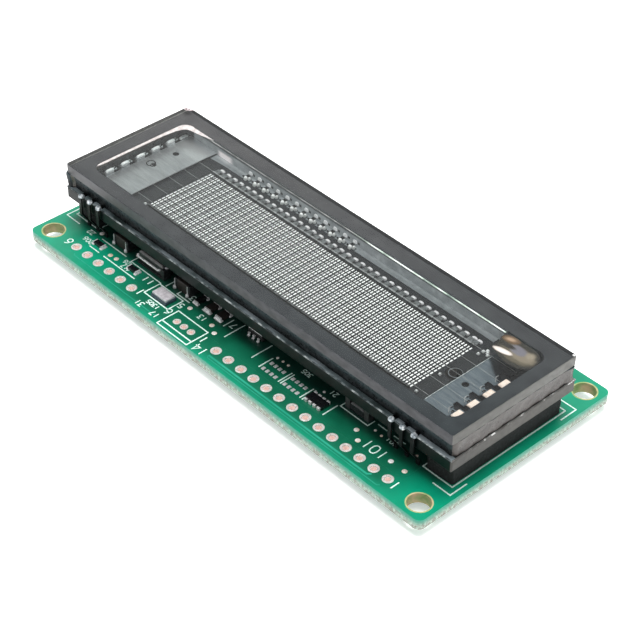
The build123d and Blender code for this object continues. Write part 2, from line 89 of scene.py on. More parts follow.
board_low, board_high = span("circuit_board")
rear_low, rear_high = span("rear_glass")
front_low, front_high = span("front_glass")
board_top = board_high.z
control_row = solids("control_pads")
print("board top", round(board_top, 3), "front glass", front_low[:], front_high[:])

# %% [markdown]
# ## Shapes
#
# A piece is points and faces. One small class gathers them, and a few functions add the forms that this
# object is made of: blocks, plates cut to an outline, turned rings, rounded lumps and round wires.


# %% Gather points and faces
class Shape:
    """Points in millimetres and the faces between them. A face's mark picks its material."""

    def __init__(self):
        self.points = []
        self.faces = []
        self.marks = []

    def add(self, points, faces, mark=0):
        first = len(self.points)
        self.points += [Vector(point) for point in points]
        self.faces += [[first + index for index in face] for face in faces]
        self.marks += [mark] * len(faces)


def add_loft(shape, rings, mark=0, closed=False):
    """A skin over rings of points, capped at both ends or closed on itself."""
    count = len(rings[0])
    faces = []
    for step in range(len(rings) if closed else len(rings) - 1):
        here = step * count
        there = (step + 1) % len(rings) * count
        for i in range(count):
            j = (i + 1) % count
            faces.append((here + i, here + j, there + j, there + i))
    if not closed:
        faces.append(range(count - 1, -1, -1))
        faces.append(range((len(rings) - 1) * count, len(rings) * count))
    shape.add([point for ring in rings for point in ring], faces, mark)


def at_level(outline, level):
    """The (x, y) points of an outline, lifted to a level."""
    return [(x, y, level) for x, y in outline]


def add_plate(shape, outline, low, high, mark=0):
    """A flat plate cut to an outline of (x, y) points."""
    add_loft(shape, [at_level(outline, low), at_level(outline, high)], mark)


def add_block(shape, low, high, mark=0):
    """A block between two corners."""
    outline = [(low[0], low[1]), (high[0], low[1]), (high[0], high[1]), (low[0], high[1])]
    add_plate(shape, outline, low[2], high[2], mark)


# %% Round outlines
def circle(centre, radius, steps=24):
    """Points on a circle."""
    turns = [math.tau * step / steps for step in range(steps)]
    return [(centre[0] + radius * math.cos(turn), centre[1] + radius * math.sin(turn)) for turn in turns]


def rounded(low, high, radius, steps=5):
    """The outline of a rectangle with round corners."""
    corners = ((high[0] - radius, high[1] - radius), (low[0] + radius, high[1] - radius),
               (low[0] + radius, low[1] + radius), (high[0] - radius, low[1] + radius))
    points = []
    for quarter, (x, y) in enumerate(corners):
        for step in range(steps + 1):
            turn = math.pi / 2 * (quarter + step / steps)
            points.append((x + radius * math.cos(turn), y + radius * math.sin(turn)))
    return points


def tucked(low, high, tuck, radius, steps=5):
    """The rounded outline of a box, drawn in by the same distance on every side."""
    return rounded((low.x + tuck, low.y + tuck), (high.x - tuck, high.y - tuck), radius, steps)


# %% Rings, turned forms, lumps and wires
def add_ring(shape, outer, inner, low, high, mark=0):
    """A flat frame between two outlines with the same number of points."""
    edges = ((outer, low), (outer, high), (inner, high), (inner, low))
    add_loft(shape, [at_level(edge, level) for edge, level in edges], mark, closed=True)


def add_turned(shape, profile, centre, steps=24, mark=0, closed=False):
    """A profile of (radius, level) points turned about an upright axis."""
    rings = [at_level(circle(centre, radius, steps), level) for radius, level in profile]
    add_loft(shape, rings, mark, closed)


def add_pillow(shape, low, high, radius, mark=0):
    """A rounded lump on a flat rectangular foot, like a drop of solder or set paste."""
    centre = (Vector(low) + Vector(high)) / 2
    half = (Vector(high) - Vector(low)) / 2
    layers = 5
    rings = []
    for layer in range(layers + 1):
        turn = math.pi / 2 * layer / (layers + 0.4)
        shrink = math.cos(turn) ** 0.6
        outline = rounded((centre.x - half.x * shrink, centre.y - half.y * shrink),
                          (centre.x + half.x * shrink, centre.y + half.y * shrink), radius * shrink, 3)
        rings.append(at_level(outline, low[2] + (high[2] - low[2]) * math.sin(turn)))
    add_loft(shape, rings, mark)


def add_wire(shape, path, radius, steps=8, mark=0):
    """A round wire along a path."""
    points = [Vector(point) for point in path]
    turns = [math.tau * step / steps for step in range(steps)]
    rings = []
    for index, point in enumerate(points):
        ahead = (points[min(index + 1, len(points) - 1)] - points[max(index - 1, 0)]).normalized()
        side = ahead.cross(Vector((0, 0, 1)))
        side = side.normalized() if side.length > 0.01 else Vector((1, 0, 0))
        up = side.cross(ahead)
        rings.append([point + (side * math.cos(turn) + up * math.sin(turn)) * radius for turn in turns])
    add_loft(shape, rings, mark)


# %% [markdown]
# ## Pieces
#
# `make` turns a shape into an object that rides on the frame, and hides the CAD nodes it stands for.
# `dress` is for a CAD node whose own shape is right. Its mesh has to stay as it is, so modifiers join its
# points, merge its triangles into whole faces and break its edges. No real edge is perfectly sharp, and the
# thin light line along it is what makes a small part look real.


# %% Make or dress a piece
def make(name, shape, finishes, replaces=(), smooth_under=40):
    """Turns a shape into an object that rides on the frame and stands for the CAD nodes it replaces."""
    mesh = bpy.data.meshes.new(name)
    mesh.from_pydata([point * MM for point in shape.points], [], shape.faces)
    for finish in finishes:
        mesh.materials.append(finish)
    mesh.polygons.foreach_set("material_index", shape.marks)
    turned = bmesh.new()
    turned.from_mesh(mesh)
    bmesh.ops.recalc_face_normals(turned, faces=turned.faces)
    turned.to_mesh(mesh)
    turned.free()
    mesh.shade_smooth()
    mesh.set_sharp_from_angle(angle=math.radians(smooth_under))
    piece = bpy.data.objects.new(name, mesh)
    bpy.context.scene.collection.objects.link(piece)
    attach(piece, "root")
    if replaces:
        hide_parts(*replaces)
    print(f"{name}: {len(mesh.polygons)} faces")
    return piece


def dress(name, finish, bevel=0.0):
    """Keeps a CAD node's own shape, gives it a finish and, where asked, breaks edges over 40 degrees."""
    piece = nodes[name]
    piece.data.materials.clear()
    piece.data.materials.append(finish)
    if bevel:
        weld = piece.modifiers.new("Joined points", "WELD")
        weld.merge_threshold = 0.0005 * MM
        flat = piece.modifiers.new("Whole faces", "DECIMATE")
        flat.decimate_type = "DISSOLVE"
        flat.angle_limit = math.radians(1)
        edge = piece.modifiers.new("Broken edges", "BEVEL")
        edge.width = bevel * MM
        edge.segments = 2
        edge.limit_method = "ANGLE"
        edge.angle_limit = math.radians(40)
        edge.harden_normals = True
    print(f"{name}: {finish.name}")


# %% [markdown]
# ## Finishes
#
# Every material is one Principled shader fed by a few nodes. Colours are written as the hex values that a
# screen shows and turned to linear light by one function. One small function adds a node with its settings
# and links and hands back an output to link on. Patterns run on object coordinates in metres, so a
# pattern's scale is one over a real size.


# %% Colours and nodes
def linear(code):
    """A hex colour as linear red, green, blue and alpha."""
    parts = [int(code[start:start + 2], 16) / 255 for start in (1, 3, 5)]
    light = [part / 12.92 if part <= 0.04045 else ((part + 0.055) / 1.055) ** 2.4 for part in parts]
    return (*light, 1.0)


def node(tree, kind, inputs=None, output=None, stops=None, **settings):
    """Adds a node and returns one of its outputs. inputs holds values, or outputs to link from."""
    made = tree.nodes.new("ShaderNode" + kind)
    for name, value in settings.items():
        setattr(made, name, value)
    for key, value in (inputs or {}).items():
        socket = next(s for i, s in enumerate(made.inputs) if s.enabled and key in (i, s.name))
        if isinstance(value, bpy.types.NodeSocket):
            tree.links.new(value, socket)
        else:
            socket.default_value = value
    if stops:
        spots = sorted(stops)
        ramp = made.color_ramp
        ramp.elements[0].position = spots[0]
        ramp.elements[1].position = spots[-1]
        for spot in spots[1:-1]:
            ramp.elements.new(spot)
        for element, spot in zip(ramp.elements, spots):
            element.color = linear(stops[spot])
    return next(s for s in made.outputs if s.enabled and output in (None, s.name))


def material(name, **values):
    """A new material. Keyword values are the same all over, so they sit on the shader's own sockets."""
    made = bpy.data.materials.new(name)
    made.use_nodes = True
    shader = made.node_tree.nodes["Principled BSDF"]
    for socket, value in values.items():
        shader.inputs[socket.replace("_", " ")].default_value = value
    return made


def feed(finish, **sockets):
    """Links node outputs to sockets of a material's shader."""
    shader = finish.node_tree.nodes["Principled BSDF"]
    for socket, output in sockets.items():
        finish.node_tree.links.new(output, shader.inputs[socket.replace("_", " ")])


# %% Short names for common nodes
def maths(tree, operation, first, second):
    """A sum of two numbers, by the name of the operation."""
    return node(tree, "Math", {0: first, 1: second}, operation=operation)


def mix(tree, factor, first, second):
    """One colour or another, or a mix of both."""
    return node(tree, "Mix", {"Factor": factor, "A": first, "B": second}, data_type="RGBA")


def scaled(tree, value, start, end, low=0, high=1, **settings):
    """A number that goes from low to high while a value goes from start to end."""
    limits = {"Value": value, "From Min": start, "From Max": end, "To Min": low, "To Max": high}
    return node(tree, "MapRange", limits, **settings)


def fade(tree, value, start, end):
    """0 to 1 as a distance goes from start to end, in millimetres, with soft ends."""
    return scaled(tree, value, start * MM, end * MM, interpolation_type="SMOOTHSTEP")


def place(tree, stretch=(1, 1, 1)):
    """Object coordinates, in metres in the frame, stretched where a pattern runs one way."""
    here = node(tree, "TexCoord", output="Object")
    return node(tree, "Mapping", {"Vector": here, "Scale": stretch})


def part(tree, axis, vector=None):
    """One number of a vector. Without a vector, a point's own X, Y or Z."""
    whole = place(tree) if vector is None else vector
    return node(tree, "SeparateXYZ", {"Vector": whole}, output=axis)


def sided(tree, axis, level=0.5):
    """1 on faces whose true normal leans along an axis, else 0."""
    lean = part(tree, axis, node(tree, "NewGeometry", output="True Normal"))
    size = node(tree, "Math", {0: lean}, operation="ABSOLUTE")
    return maths(tree, "GREATER_THAN", size, level)


# %% Patterns
def cloud(tree, size, stretch=(1, 1, 1)):
    """Soft noise from 0 to 1 over patches of a size in millimetres."""
    values = {"Vector": place(tree, stretch), "Scale": 1 / (size * MM), "Detail": 3.0}
    return node(tree, "TexNoise", values)


def mottle(tree, size, stops, stretch=(1, 1, 1)):
    """A colour that wanders between stops over patches of a size in millimetres."""
    return node(tree, "ValToRGB", {"Fac": cloud(tree, size, stretch)}, stops=stops)


def grain(tree, size, depth, stretch=(1, 1, 1)):
    """A fine unevenness: patches of a size and a depth, both in millimetres."""
    return node(tree, "Bump", {"Height": cloud(tree, size, stretch), "Distance": depth * MM})


def wander(tree, size, low, high, stretch=(1, 1, 1)):
    """A number that wanders between two values over patches of a size in millimetres."""
    return scaled(tree, cloud(tree, size, stretch), 0.3, 0.7, low, high)


def coat(name, size, stops, rough=None, bump=None, stretch=(1, 1, 1), **values):
    """A material with a mottled colour, and a rough (size, low, high) and a bump (size, depth) if wanted."""
    made = material(name, **values)
    tree = made.node_tree
    feed(made, Base_Color=mottle(tree, size, stops, stretch))
    if rough:
        feed(made, Roughness=wander(tree, *rough))
    if bump:
        feed(made, Normal=grain(tree, *bump))
    return made


# %% [markdown]
# ## The circuit board
#
# The board is glass cloth in epoxy, beige where it was cut, under a film of glossy green lacquer called
# solder mask. The lacquer lies a little thicker in some places, so the green is mottled and its shine is
# uneven. Round each mounting hole the lacquer stops and a ring of bare laminate shows. One material can
# hold both: cut walls are found by their normals, and the bare rings by their distance from the holes.

# %% Solder mask and laminate
hole_inset = 2.5
hole_at = Vector((board_high.x - hole_inset, board_high.y - hole_inset, 0))
bare_radius = 1.8

solder_mask = material("green solder mask on laminate", IOR=1.5, Coat_Weight=0.15, Coat_Roughness=0.1)
tree = solder_mask.node_tree
bare_board = mottle(tree, 5.0, {0.3: "#008060", 0.7: "#059472"})
over_copper = mottle(tree, 4.0, {0.3: "#08583F", 0.7: "#0F6A4E"})
painted_tube_shadow = mottle(tree, 4.0, {0.3: "#0A2C23", 0.7: "#104136"})
cut_edge = mottle(tree, 0.35, {0.35: "#979589", 0.46: "#AAAFA4", 0.54: "#B2C5B6", 0.66: "#CADACD"})
hole_wall = mottle(tree, 1.6, {0.35: "#7F9C5E", 0.5: "#A5AA78", 0.65: "#CBB48F"})
spot = place(tree)
folded = node(tree, "VectorMath", {0: spot}, operation="ABSOLUTE")
away = node(tree, "VectorMath", {0: folded, 1: hole_at * MM}, operation="SUBTRACT")
level = node(tree, "VectorMath", {0: away, 1: (1, 1, 0)}, operation="MULTIPLY")
reach = node(tree, "VectorMath", {0: level}, output="Value", operation="LENGTH")
along = part(tree, "X", spot)
sides = part(tree, "X", folded)
depths = part(tree, "Y", folded)
row_span = maths(tree, "MULTIPLY", fade(tree, along, -29.0, -15.0), fade(tree, along, 36.5, 30.0))
copper = maths(tree, "MULTIPLY", fade(tree, depths, 18.6, 15.9), row_span)
# Painted shadow: the green is darkened next to the tube's long sides, where the tube shades the board.
tube_shadow_mask = maths(tree, "MULTIPLY", fade(tree, depths, 12.6, 10.2), fade(tree, sides, 38.2, 35.6))
green = mix(tree, tube_shadow_mask, mix(tree, copper, bare_board, over_copper), painted_tube_shadow)
ringed = maths(tree, "LESS_THAN", reach, bare_radius * MM)
cut_edge = mix(tree, fade(tree, part(tree, "Z", spot), 1.4, 2.5), cut_edge, linear("#48A48C"))
bare = maths(tree, "MAXIMUM", ringed, maths(tree, "SUBTRACT", 1.0, sided(tree, "Z")))
laminate = mix(tree, ringed, cut_edge, hole_wall)
feed(solder_mask,
     Base_Color=mix(tree, bare, green, laminate),
     Roughness=scaled(tree, bare, 0, 1, 0.36, 0.7),
     Normal=grain(tree, 0.7, 0.008))
dress("circuit_board", solder_mask)

# %% [markdown]
# Copper lies under the mask, 0.03 mm thick, and the mask follows it. A wide copper ground looks darker and
# bluer than bare laminate, because no light comes back from the board through it, which the mask's own
# colour holds already. A narrow track shows as a light ridge. Thin plates show both as real steps.
# Drawn lines like these come back for the white legend, so one function makes a flat line with mitred
# corners from a list of points.


# %% Flat lines
def add_line(shape, path, width, low, high, mark=0, loop=False):
    """A flat line of one width along (x, y) points, with mitred corners."""
    points = [Vector(point) for point in path]
    count = len(points)
    rings = []
    for index, point in enumerate(points):
        behind = points[index - 1] if loop or index else None
        beyond = points[(index + 1) % count] if loop or index + 1 < count else None
        before = (point - behind).normalized() if behind else (beyond - point).normalized()
        after = (beyond - point).normalized() if beyond else before
        ahead = (before + after).normalized()
        side = Vector((-ahead.y, ahead.x)) * width / 2 / max(ahead.dot(after), 0.5)
        edges = ((point + side, low), (point - side, low), (point - side, high), (point + side, high))
        rings.append([(*edge, height) for edge, height in edges])
    add_loft(shape, rings, mark, closed=loop)


# %% Copper under the mask
copper_rise = 0.03
sunk = board_top - 0.05
track_mask = coat("solder mask over copper track", 3.0, {0.3: "#1C8C70", 0.7: "#2C9C80"}, bump=(0.7, 0.008),
                  Roughness=0.36, IOR=1.5, Coat_Weight=0.15)
last_pad = (control_row[-1][0] + control_row[-1][1]) / 2
first_pad = (control_row[0][0] + control_row[0][1]) / 2
track_y = first_pad.y - 1.33
track_high = board_top + copper_rise
ground = Shape()
add_plate(ground, rounded((-33.6, -14.25), (33.3, 16.2), 1.6), sunk, track_high)
make("ground_area", ground, [solder_mask])
tracks = Shape()
add_line(tracks, [(first_pad.x, track_y), (last_pad.x - 2.44, track_y), (last_pad.x - 2.0, track_y + 0.44)],
         0.3, sunk, track_high)
for left, right, y in ((-1.0, 31.8, track_y - 0.45), (-31.0, -12.6, track_y - 0.1)):
    bend = [(left, y + 0.3), (left + 0.3, y), (right, y), (right + 0.3, y + 0.3)]
    add_line(tracks, bend, 0.12, sunk, track_high)
make("tracks", tracks, [track_mask])

# %% [markdown]
# ### Plated holes and test points
#
# A hole for a pin is a copper barrel with a ring on each side, all dipped in solder. Solder never lies
# flat: it climbs to a low rounded rim and sinks into the barrel. Turning one closed profile about the
# hole's axis gives that. Fresh solder is a soft silver metal with a slightly wavy skin. The white table
# under the board lights the open barrels from below. A short render loses that light between the board and
# the table, so the barrels give off a little of their own.

# %% Solder rings
tinned = coat("tinned copper", 0.5, {0.3: "#D2CCC8", 0.55: "#EEE9E5", 0.75: "#FFFDFA"},
              rough=(0.4, 0.22, 0.42), bump=(0.35, 0.02), Metallic=0.45)
barrel_wall = coat("copper under thin tin and flux", 0.3, {0.35: "#DCC0B6", 0.65: "#F4E2DA"},
                   rough=(0.3, 0.35, 0.5), Metallic=0.1, Emission_Color=(1, 0.84, 0.8, 1),
                   Emission_Strength=0.2)


def add_plated_hole(shape, low, high, bore):
    """A ring of solder on both faces of the board, joined by a plated barrel."""
    centre = (low + high) / 2
    outer = (high.x - low.x) / 2 * 0.9
    lip = bore + 0.07
    crown = (outer + lip) / 2
    under = board_low.z
    skin = [(outer, board_top - 0.05), (outer, board_top + 0.05), (crown, board_top + 0.05 + copper_rise),
            (lip, board_top + 0.055), (bore + 0.02, board_top - 0.03), (bore + 0.02, under + 0.03),
            (lip, under - 0.03), (crown, under - 0.05), (outer, under - 0.02), (outer, under + 0.05)]
    add_turned(shape, skin, centre, closed=True)
    barrel = [(bore + 0.025, under + 0.03), (bore + 0.025, board_top - 0.03), (bore, board_top - 0.04),
              (bore, under + 0.04)]
    add_turned(shape, barrel, centre, mark=1, closed=True)


for row, bore in (("control_pads", 0.42), ("option_pads", 0.42), ("serial_pads", 0.32)):
    rings = Shape()
    for low, high in solids(row):
        add_plated_hole(rings, low, high, bore)
    make(row.replace("pads", "rings"), rings, [tinned, barrel_wall], [row])

# %% Test points
land_solder = coat("bright solder dome", 2.0, {0.35: "#E8CDB6", 0.5: "#F6EDE6", 0.65: "#FFFFFF"},
                   bump=(0.3, 0.03), Metallic=0.2, Roughness=0.3)
test_lands = Shape()
for low, high in solids("test_points"):
    centre = (low + high) / 2
    radius = 0.42 * (high.x - low.x)
    profile = [(radius, board_top - 0.02), (radius, board_top + 0.05), (radius * 0.8, board_top + 0.1),
               (radius * 0.4, board_top + 0.13), (radius * 0.1, board_top + 0.135)]
    add_turned(test_lands, profile, centre, 16)
make("test_lands", test_lands, [land_solder], ["test_points"])

# %% [markdown]
# ## The foam under the tube
#
# Two strips of black foam tape hold the glass off the board. Cut foam is matt, with a skin full of small
# open cells about 0.3 mm wide, and its edges are never quite straight. The blocks get slightly rounded
# edges and a bump of cells.

# %% Foam strips
cell_size = 0.28
foam = material("black closed-cell foam", Roughness=0.9, IOR=1.45)
tree = foam.node_tree
cells = node(tree, "TexVoronoi", {"Vector": place(tree), "Scale": 1 / (cell_size * MM)}, output="Distance")
feed(foam, Base_Color=mottle(tree, 0.4, {0.3: "#090B0B", 0.6: "#141919", 0.8: "#232929"}),
     Normal=node(tree, "Bump", {"Height": cells, "Distance": 0.06 * MM}))
for side in ("left", "right"):
    low, high = span(f"foam_pad_{side}")
    waist = (low.z + high.z) / 2
    levels = ((low.z, 0.0), (low.z + 0.3, 0.06), (waist, 0.0), (high.z - 0.3, 0.06), (high.z, 0.0))
    strip = Shape()
    add_loft(strip, [at_level(tucked(low, high, tuck, 0.25), level) for level, tuck in levels])
    block = make(f"foam_strip_{side}", strip, [foam], [f"foam_pad_{side}"], smooth_under=60)

# %% [markdown]
# ## The glass tube
#
# Two sheets of soda-lime glass and a low glass wall between them, sealed with a bead of melted glass
# powder. Light bends in real glass, so what lies inside seems lifted towards the eye. The front sheet is
# a true solid with an index of 1.52, and the shader does that bending by itself. Lamps can't be followed
# through bending glass at a low price, so the front sheet casts no shadow and the light reaches the dots.
# Its long sides are snapped and its ends ground, and both are matt.

# %% Clear, ground and snapped glass
clear_glass = coat("soda-lime glass", 30.0, {0.3: "#F1F8F5", 0.7: "#FBFEFC"}, Roughness=0.0, IOR=1.52,
                   Transmission_Weight=1.0, Specular_Tint=(0.4, 0.4, 0.4, 1))

ground_glass = coat("ground soda-lime glass", 1.4, {0.3: "#64645F", 0.7: "#787772"}, rough=(0.5, 0.35, 0.6),
                    bump=(0.2, 0.006), stretch=(1, 1, 3), IOR=1.52, Transmission_Weight=0.35)

cut_glass = material("snapped soda-lime glass", IOR=1.52, Transmission_Weight=0.1, Roughness=0.35,
                     Specular_IOR_Level=0.2)
tree = cut_glass.node_tree
left_tone = mottle(tree, 1.6, {0.35: "#303234", 0.65: "#404246"}, stretch=(1, 1, 2))
right_tone = mottle(tree, 1.6, {0.35: "#4A4A4D", 0.65: "#5C5C60"}, stretch=(1, 1, 2))
rightwards = scaled(tree, part(tree, "X"), -36 * MM, 30 * MM)
feed(cut_glass, Base_Color=mix(tree, rightwards, left_tone, right_tone),
     Normal=grain(tree, 1.4, 0.012, stretch=(1, 1, 2)))


def add_pane(shape, low, high, chamfer):
    """A pane with chamfered rims. Marks: 0 faces, 1 short ends, 2 long sides."""
    levels = ((low.z, chamfer), (low.z + chamfer, 0), (high.z - chamfer, 0), (high.z, chamfer))
    add_loft(shape, [at_level(tucked(low, high, tuck, 0.35 - tuck, 2), level) for level, tuck in levels])
    for index, face in enumerate(shape.faces):
        corners = [shape.points[point] for point in face]
        normal = (corners[1] - corners[0]).cross(corners[2] - corners[1])
        if abs(normal.z) < 0.95 * normal.length:
            shape.marks[index] = 1 if abs(normal.x) > abs(normal.y) else 2


# %% Front pane
pane = Shape()
add_pane(pane, front_low, front_high, 0.08)
front_pane = make("front_pane", pane, [clear_glass, ground_glass, cut_glass], ["front_glass"])
front_pane.visible_shadow = False

# %% Rear pane and exhaust cap
rear_glass = material("rear soda-lime glass", IOR=1.52, Transmission_Weight=0.1)
tree = rear_glass.node_tree
clear_side = mottle(tree, 4.0, {0.35: "#070D0D", 0.65: "#101B1A"})
near_end_shaded = mottle(tree, 0.8, {0.3: "#363430", 0.7: "#45433F"})
far_end_lit = mottle(tree, 0.8, {0.3: "#403E39", 0.7: "#524F4A"})
# Painted shade: the ground ends of the rear pane darken towards the near side.
ground_end = mix(tree, fade(tree, part(tree, "Y"), -11.0, 2.0), near_end_shaded, far_end_lit)
at_end = sided(tree, "X")
feed(rear_glass,
     Base_Color=mix(tree, at_end, clear_side, ground_end),
     Specular_IOR_Level=scaled(tree, at_end, 0, 1, 0.12, 0.4),
     Roughness=scaled(tree, at_end, 0, 1, 0.3, 0.45),
     Normal=grain(tree, 1.5, 0.015))
dress("rear_glass", rear_glass, bevel=0.12)
cap_glass = coat("moulded glass cap", 1.0, {0.3: "#6C7A76", 0.7: "#9DA8A4"}, rough=(0.8, 0.1, 0.3), IOR=1.52,
                 Transmission_Weight=0.6)
dress("exhaust_cap", cap_glass, bevel=0.25)

# %% [markdown]
# ### Walls, sealing glass and the black border
#
# The wall is a frame of sheet glass, and the sealing glass is a grey enamel, matt and a little lumpy where
# it was squeezed out. A black border is printed on the underside of the front pane to hide them. Seen
# through glass with the sky in it, such a black looks dark grey, so the ink is painted dark grey as a painted
# reflection, lighter towards the far left and darker towards the near right. The ink is fused to the glass
# with no air between, so its upper face lies 0.02 mm inside the pane, and the underside adds no second
# reflection.

# %% Wall and seal
wall_glass = coat("side wall glass", 0.8, {0.3: "#23292B", 0.55: "#3A4245", 0.75: "#5A6266"},
                  rough=(0.5, 0.2, 0.5), bump=(0.6, 0.05), stretch=(1, 1, 0.6), IOR=1.52,
                  Transmission_Weight=0.2)
dress("spacer_frame", wall_glass)
seal_glass = material("grey sealing glass", IOR=1.6)
tree = seal_glass.node_tree
shaded_long_side = mottle(tree, 0.8, {0.3: "#0C0F10", 0.55: "#171B1D", 0.75: "#2A3032"})
low_end = mottle(tree, 0.9, {0.3: "#3A3633", 0.6: "#4A4541", 0.8: "#6A6560"}, stretch=(1, 0.3, 1))
high_end = mottle(tree, 0.9, {0.3: "#403C39", 0.6: "#4E4945", 0.8: "#5E5955"}, stretch=(1, 0.3, 1))
high_side = mottle(tree, 0.9, {0.3: "#252E31", 0.6: "#414D51", 0.8: "#5B686C"}, stretch=(0.3, 1, 1))
# Painted light and shade: the bead is darker low down and lighter high up, and darker along the long sides
# than at the ends.
bead_height_shading = scaled(tree, part(tree, "Z"), (rear_high.z + 0.7) * MM, (front_low.z - 0.3) * MM)
pale_end = mix(tree, bead_height_shading, low_end, high_end)
long_side = mix(tree, bead_height_shading, shaded_long_side, high_side)
at_end = sided(tree, "X")
feed(seal_glass,
     Specular_IOR_Level=scaled(tree, at_end, 0, 1, 0.08, 0.4),
     Base_Color=mix(tree, scaled(tree, at_end, 0.8, 0.95), long_side, pale_end),
     Roughness=wander(tree, 0.4, 0.2, 0.5), Normal=grain(tree, 0.5, 0.05))
dress("seal_bead", seal_glass)

# %% [markdown]
# The bead bulges a little out of the gap, more at the ends and less low down on the near side. Its path is
# split into short steps, each pushed outwards by a slow wave.

# %% Squeezed-out bead
bead_step = 0.7
seal_low, seal_high = span("spacer_frame")
corners = [Vector(corner) for corner in rounded(seal_low.xy, seal_high.xy, 0.5, 4)]
seal_spots = []
for start, end in zip(corners, corners[1:] + corners[:1]):
    outwards = Vector((end.y - start.y, start.x - end.x)).normalized()
    pieces = max(1, round((end - start).length / bead_step))
    seal_spots += [(start.lerp(end, piece / pieces), outwards) for piece in range(pieces)]


def seal_line(depth, level):
    """One level of the bead, pushed outwards by a depth that swells a little. The ends are filled more."""
    line = []
    for spot, outwards in seal_spots:
        wave = 0.02 * math.sin(1.7 * spot.x + 3 * level) + 0.04 * math.sin(2.3 * spot.y - 2 * level)
        overfill = (0.64 - depth) * 0.92 * abs(outwards.x)
        corner = (0.9 + 0.8 * (outwards.x < 0)) * max(0.0, outwards.x * outwards.y)
        held = depth * (1 - 0.8 * max(0.0, -outwards.y) * (level < rear_high.z + 1.2))
        line.append((*(spot + outwards * (held + wave + overfill + corner)), level))
    return line


bead = Shape()
bead_foot = rear_high.z + 0.01
bead_head = front_low.z - 0.05
bead_levels = ((bead_foot, 0.42), (rear_high.z + 0.3, 0.3), (rear_high.z + 1.0, 0.14),
               (front_low.z - 0.6, 0.28), (bead_head, 0.5))
rings = [seal_line(depth, level) for level, depth in bead_levels]
rings += [[(*(spot - outwards * 0.1), level) for spot, outwards in seal_spots]
          for level in (bead_head, bead_foot)]
add_loft(bead, rings, closed=True)
make("squeezed_bead", bead, [seal_glass], smooth_under=80)

# %% [markdown]
# Along the near side the rear pane stands out past the bead as a narrow ledge. Sealing glass has run over it
# in patches, and its grey mottle is also a painted reflection of the sky, grey where the bare pane would be
# black.

# %% Glazed ledge with painted reflection
# Painted reflection: the grey mottle on the ledge stands for the sky reflected in it.
ledge_glaze_reflection = coat("thin run of sealing glass with painted reflection", 5.0, {0.35: "#2C3A3A", 0.48: "#667477", 0.62: "#9DA8AE"},
                   bump=(0.5, 0.03), IOR=1.6, Roughness=0.5)
ledge = Shape()
add_block(ledge, (rear_low.x + 0.14, rear_low.y + 0.13, rear_high.z - 0.02),
          (rear_high.x - 0.14, rear_low.y + 0.8, rear_high.z + 0.02))
make("glazed_ledge_reflection", ledge, [ledge_glaze_reflection])

# %% [markdown]
# The upper rim of the rear pane is the edge nearest the light. Handling has chipped it, and it shows as a
# thin broken bright line. A narrow ring with painted highlights, strong light and dark along it, gives that
# line.

# %% Chipped rim with painted glints
chipped_rim_glints = material("chipped glass rim with painted glints", IOR=1.52, Roughness=0.35)
tree = chipped_rim_glints.node_tree
chips = cloud(tree, 1.1)
# Painted highlights: bright flecks along the rim, grey on the long sides and paler at the ends.
side_chip_glints = node(tree, "ValToRGB", {"Fac": chips}, stops={0.4: "#2C3638", 0.56: "#6E797B", 0.66: "#C2CACA"})
end_chip_glints = node(tree, "ValToRGB", {"Fac": chips}, stops={0.5: "#5C5A57", 0.62: "#7C7A77", 0.68: "#F4F4F2"})
feed(chipped_rim_glints, Normal=grain(tree, 0.3, 0.05),
     Base_Color=mix(tree, sided(tree, "X"), side_chip_glints, end_chip_glints))
rim = Shape()
rim_profile = ((-0.01, -0.14), (-0.01, -0.11), (0.11, 0.01), (0.14, 0.01), (0.14, -0.14))
add_loft(rim, [at_level(tucked(rear_low, rear_high, tuck, 0.05, 1), rear_high.z + drop)
               for tuck, drop in rim_profile], closed=True)
make("chipped_rim_glints", rim, [chipped_rim_glints])

# %% Border print
print_ink = material("black border print", IOR=1.5, Roughness=0.6, Specular_IOR_Level=0.0)
tree = print_ink.node_tree
near_right_dim_reflection = mottle(tree, 2.5, {0.3: "#2D3235", 0.7: "#373D40"})
far_left_bright_reflection = mottle(tree, 2.5, {0.3: "#4F4E50", 0.7: "#595859"})
# Painted reflection: the ink is lighter towards the far left and darker towards the near right.
slope = node(tree, "VectorMath", {0: place(tree), 1: (-0.0079, 0.0182, 0)}, output="Value",
             operation="DOT_PRODUCT")
share = scaled(tree, slope, -0.5 * MM, 0.5 * MM)
feed(print_ink, Base_Color=mix(tree, share, near_right_dim_reflection, far_left_bright_reflection))
window = rounded((-36.3, -8.85), (36.0, 8.9), 1.6)
border = Shape()
add_ring(border, tucked(front_low, front_high, 0.07, 0.28), window, front_low.z - 0.03, front_low.z + 0.02)
make("black_border", border, [print_ink], ["border_print"])

# %% [markdown]
# At the left end the sealing glass ran past the border, so the window shows a pale pink-white band of it,
# which bends round the far corner and thins out. It is a strip whose width changes along its path, with a
# rounded top against the pane.

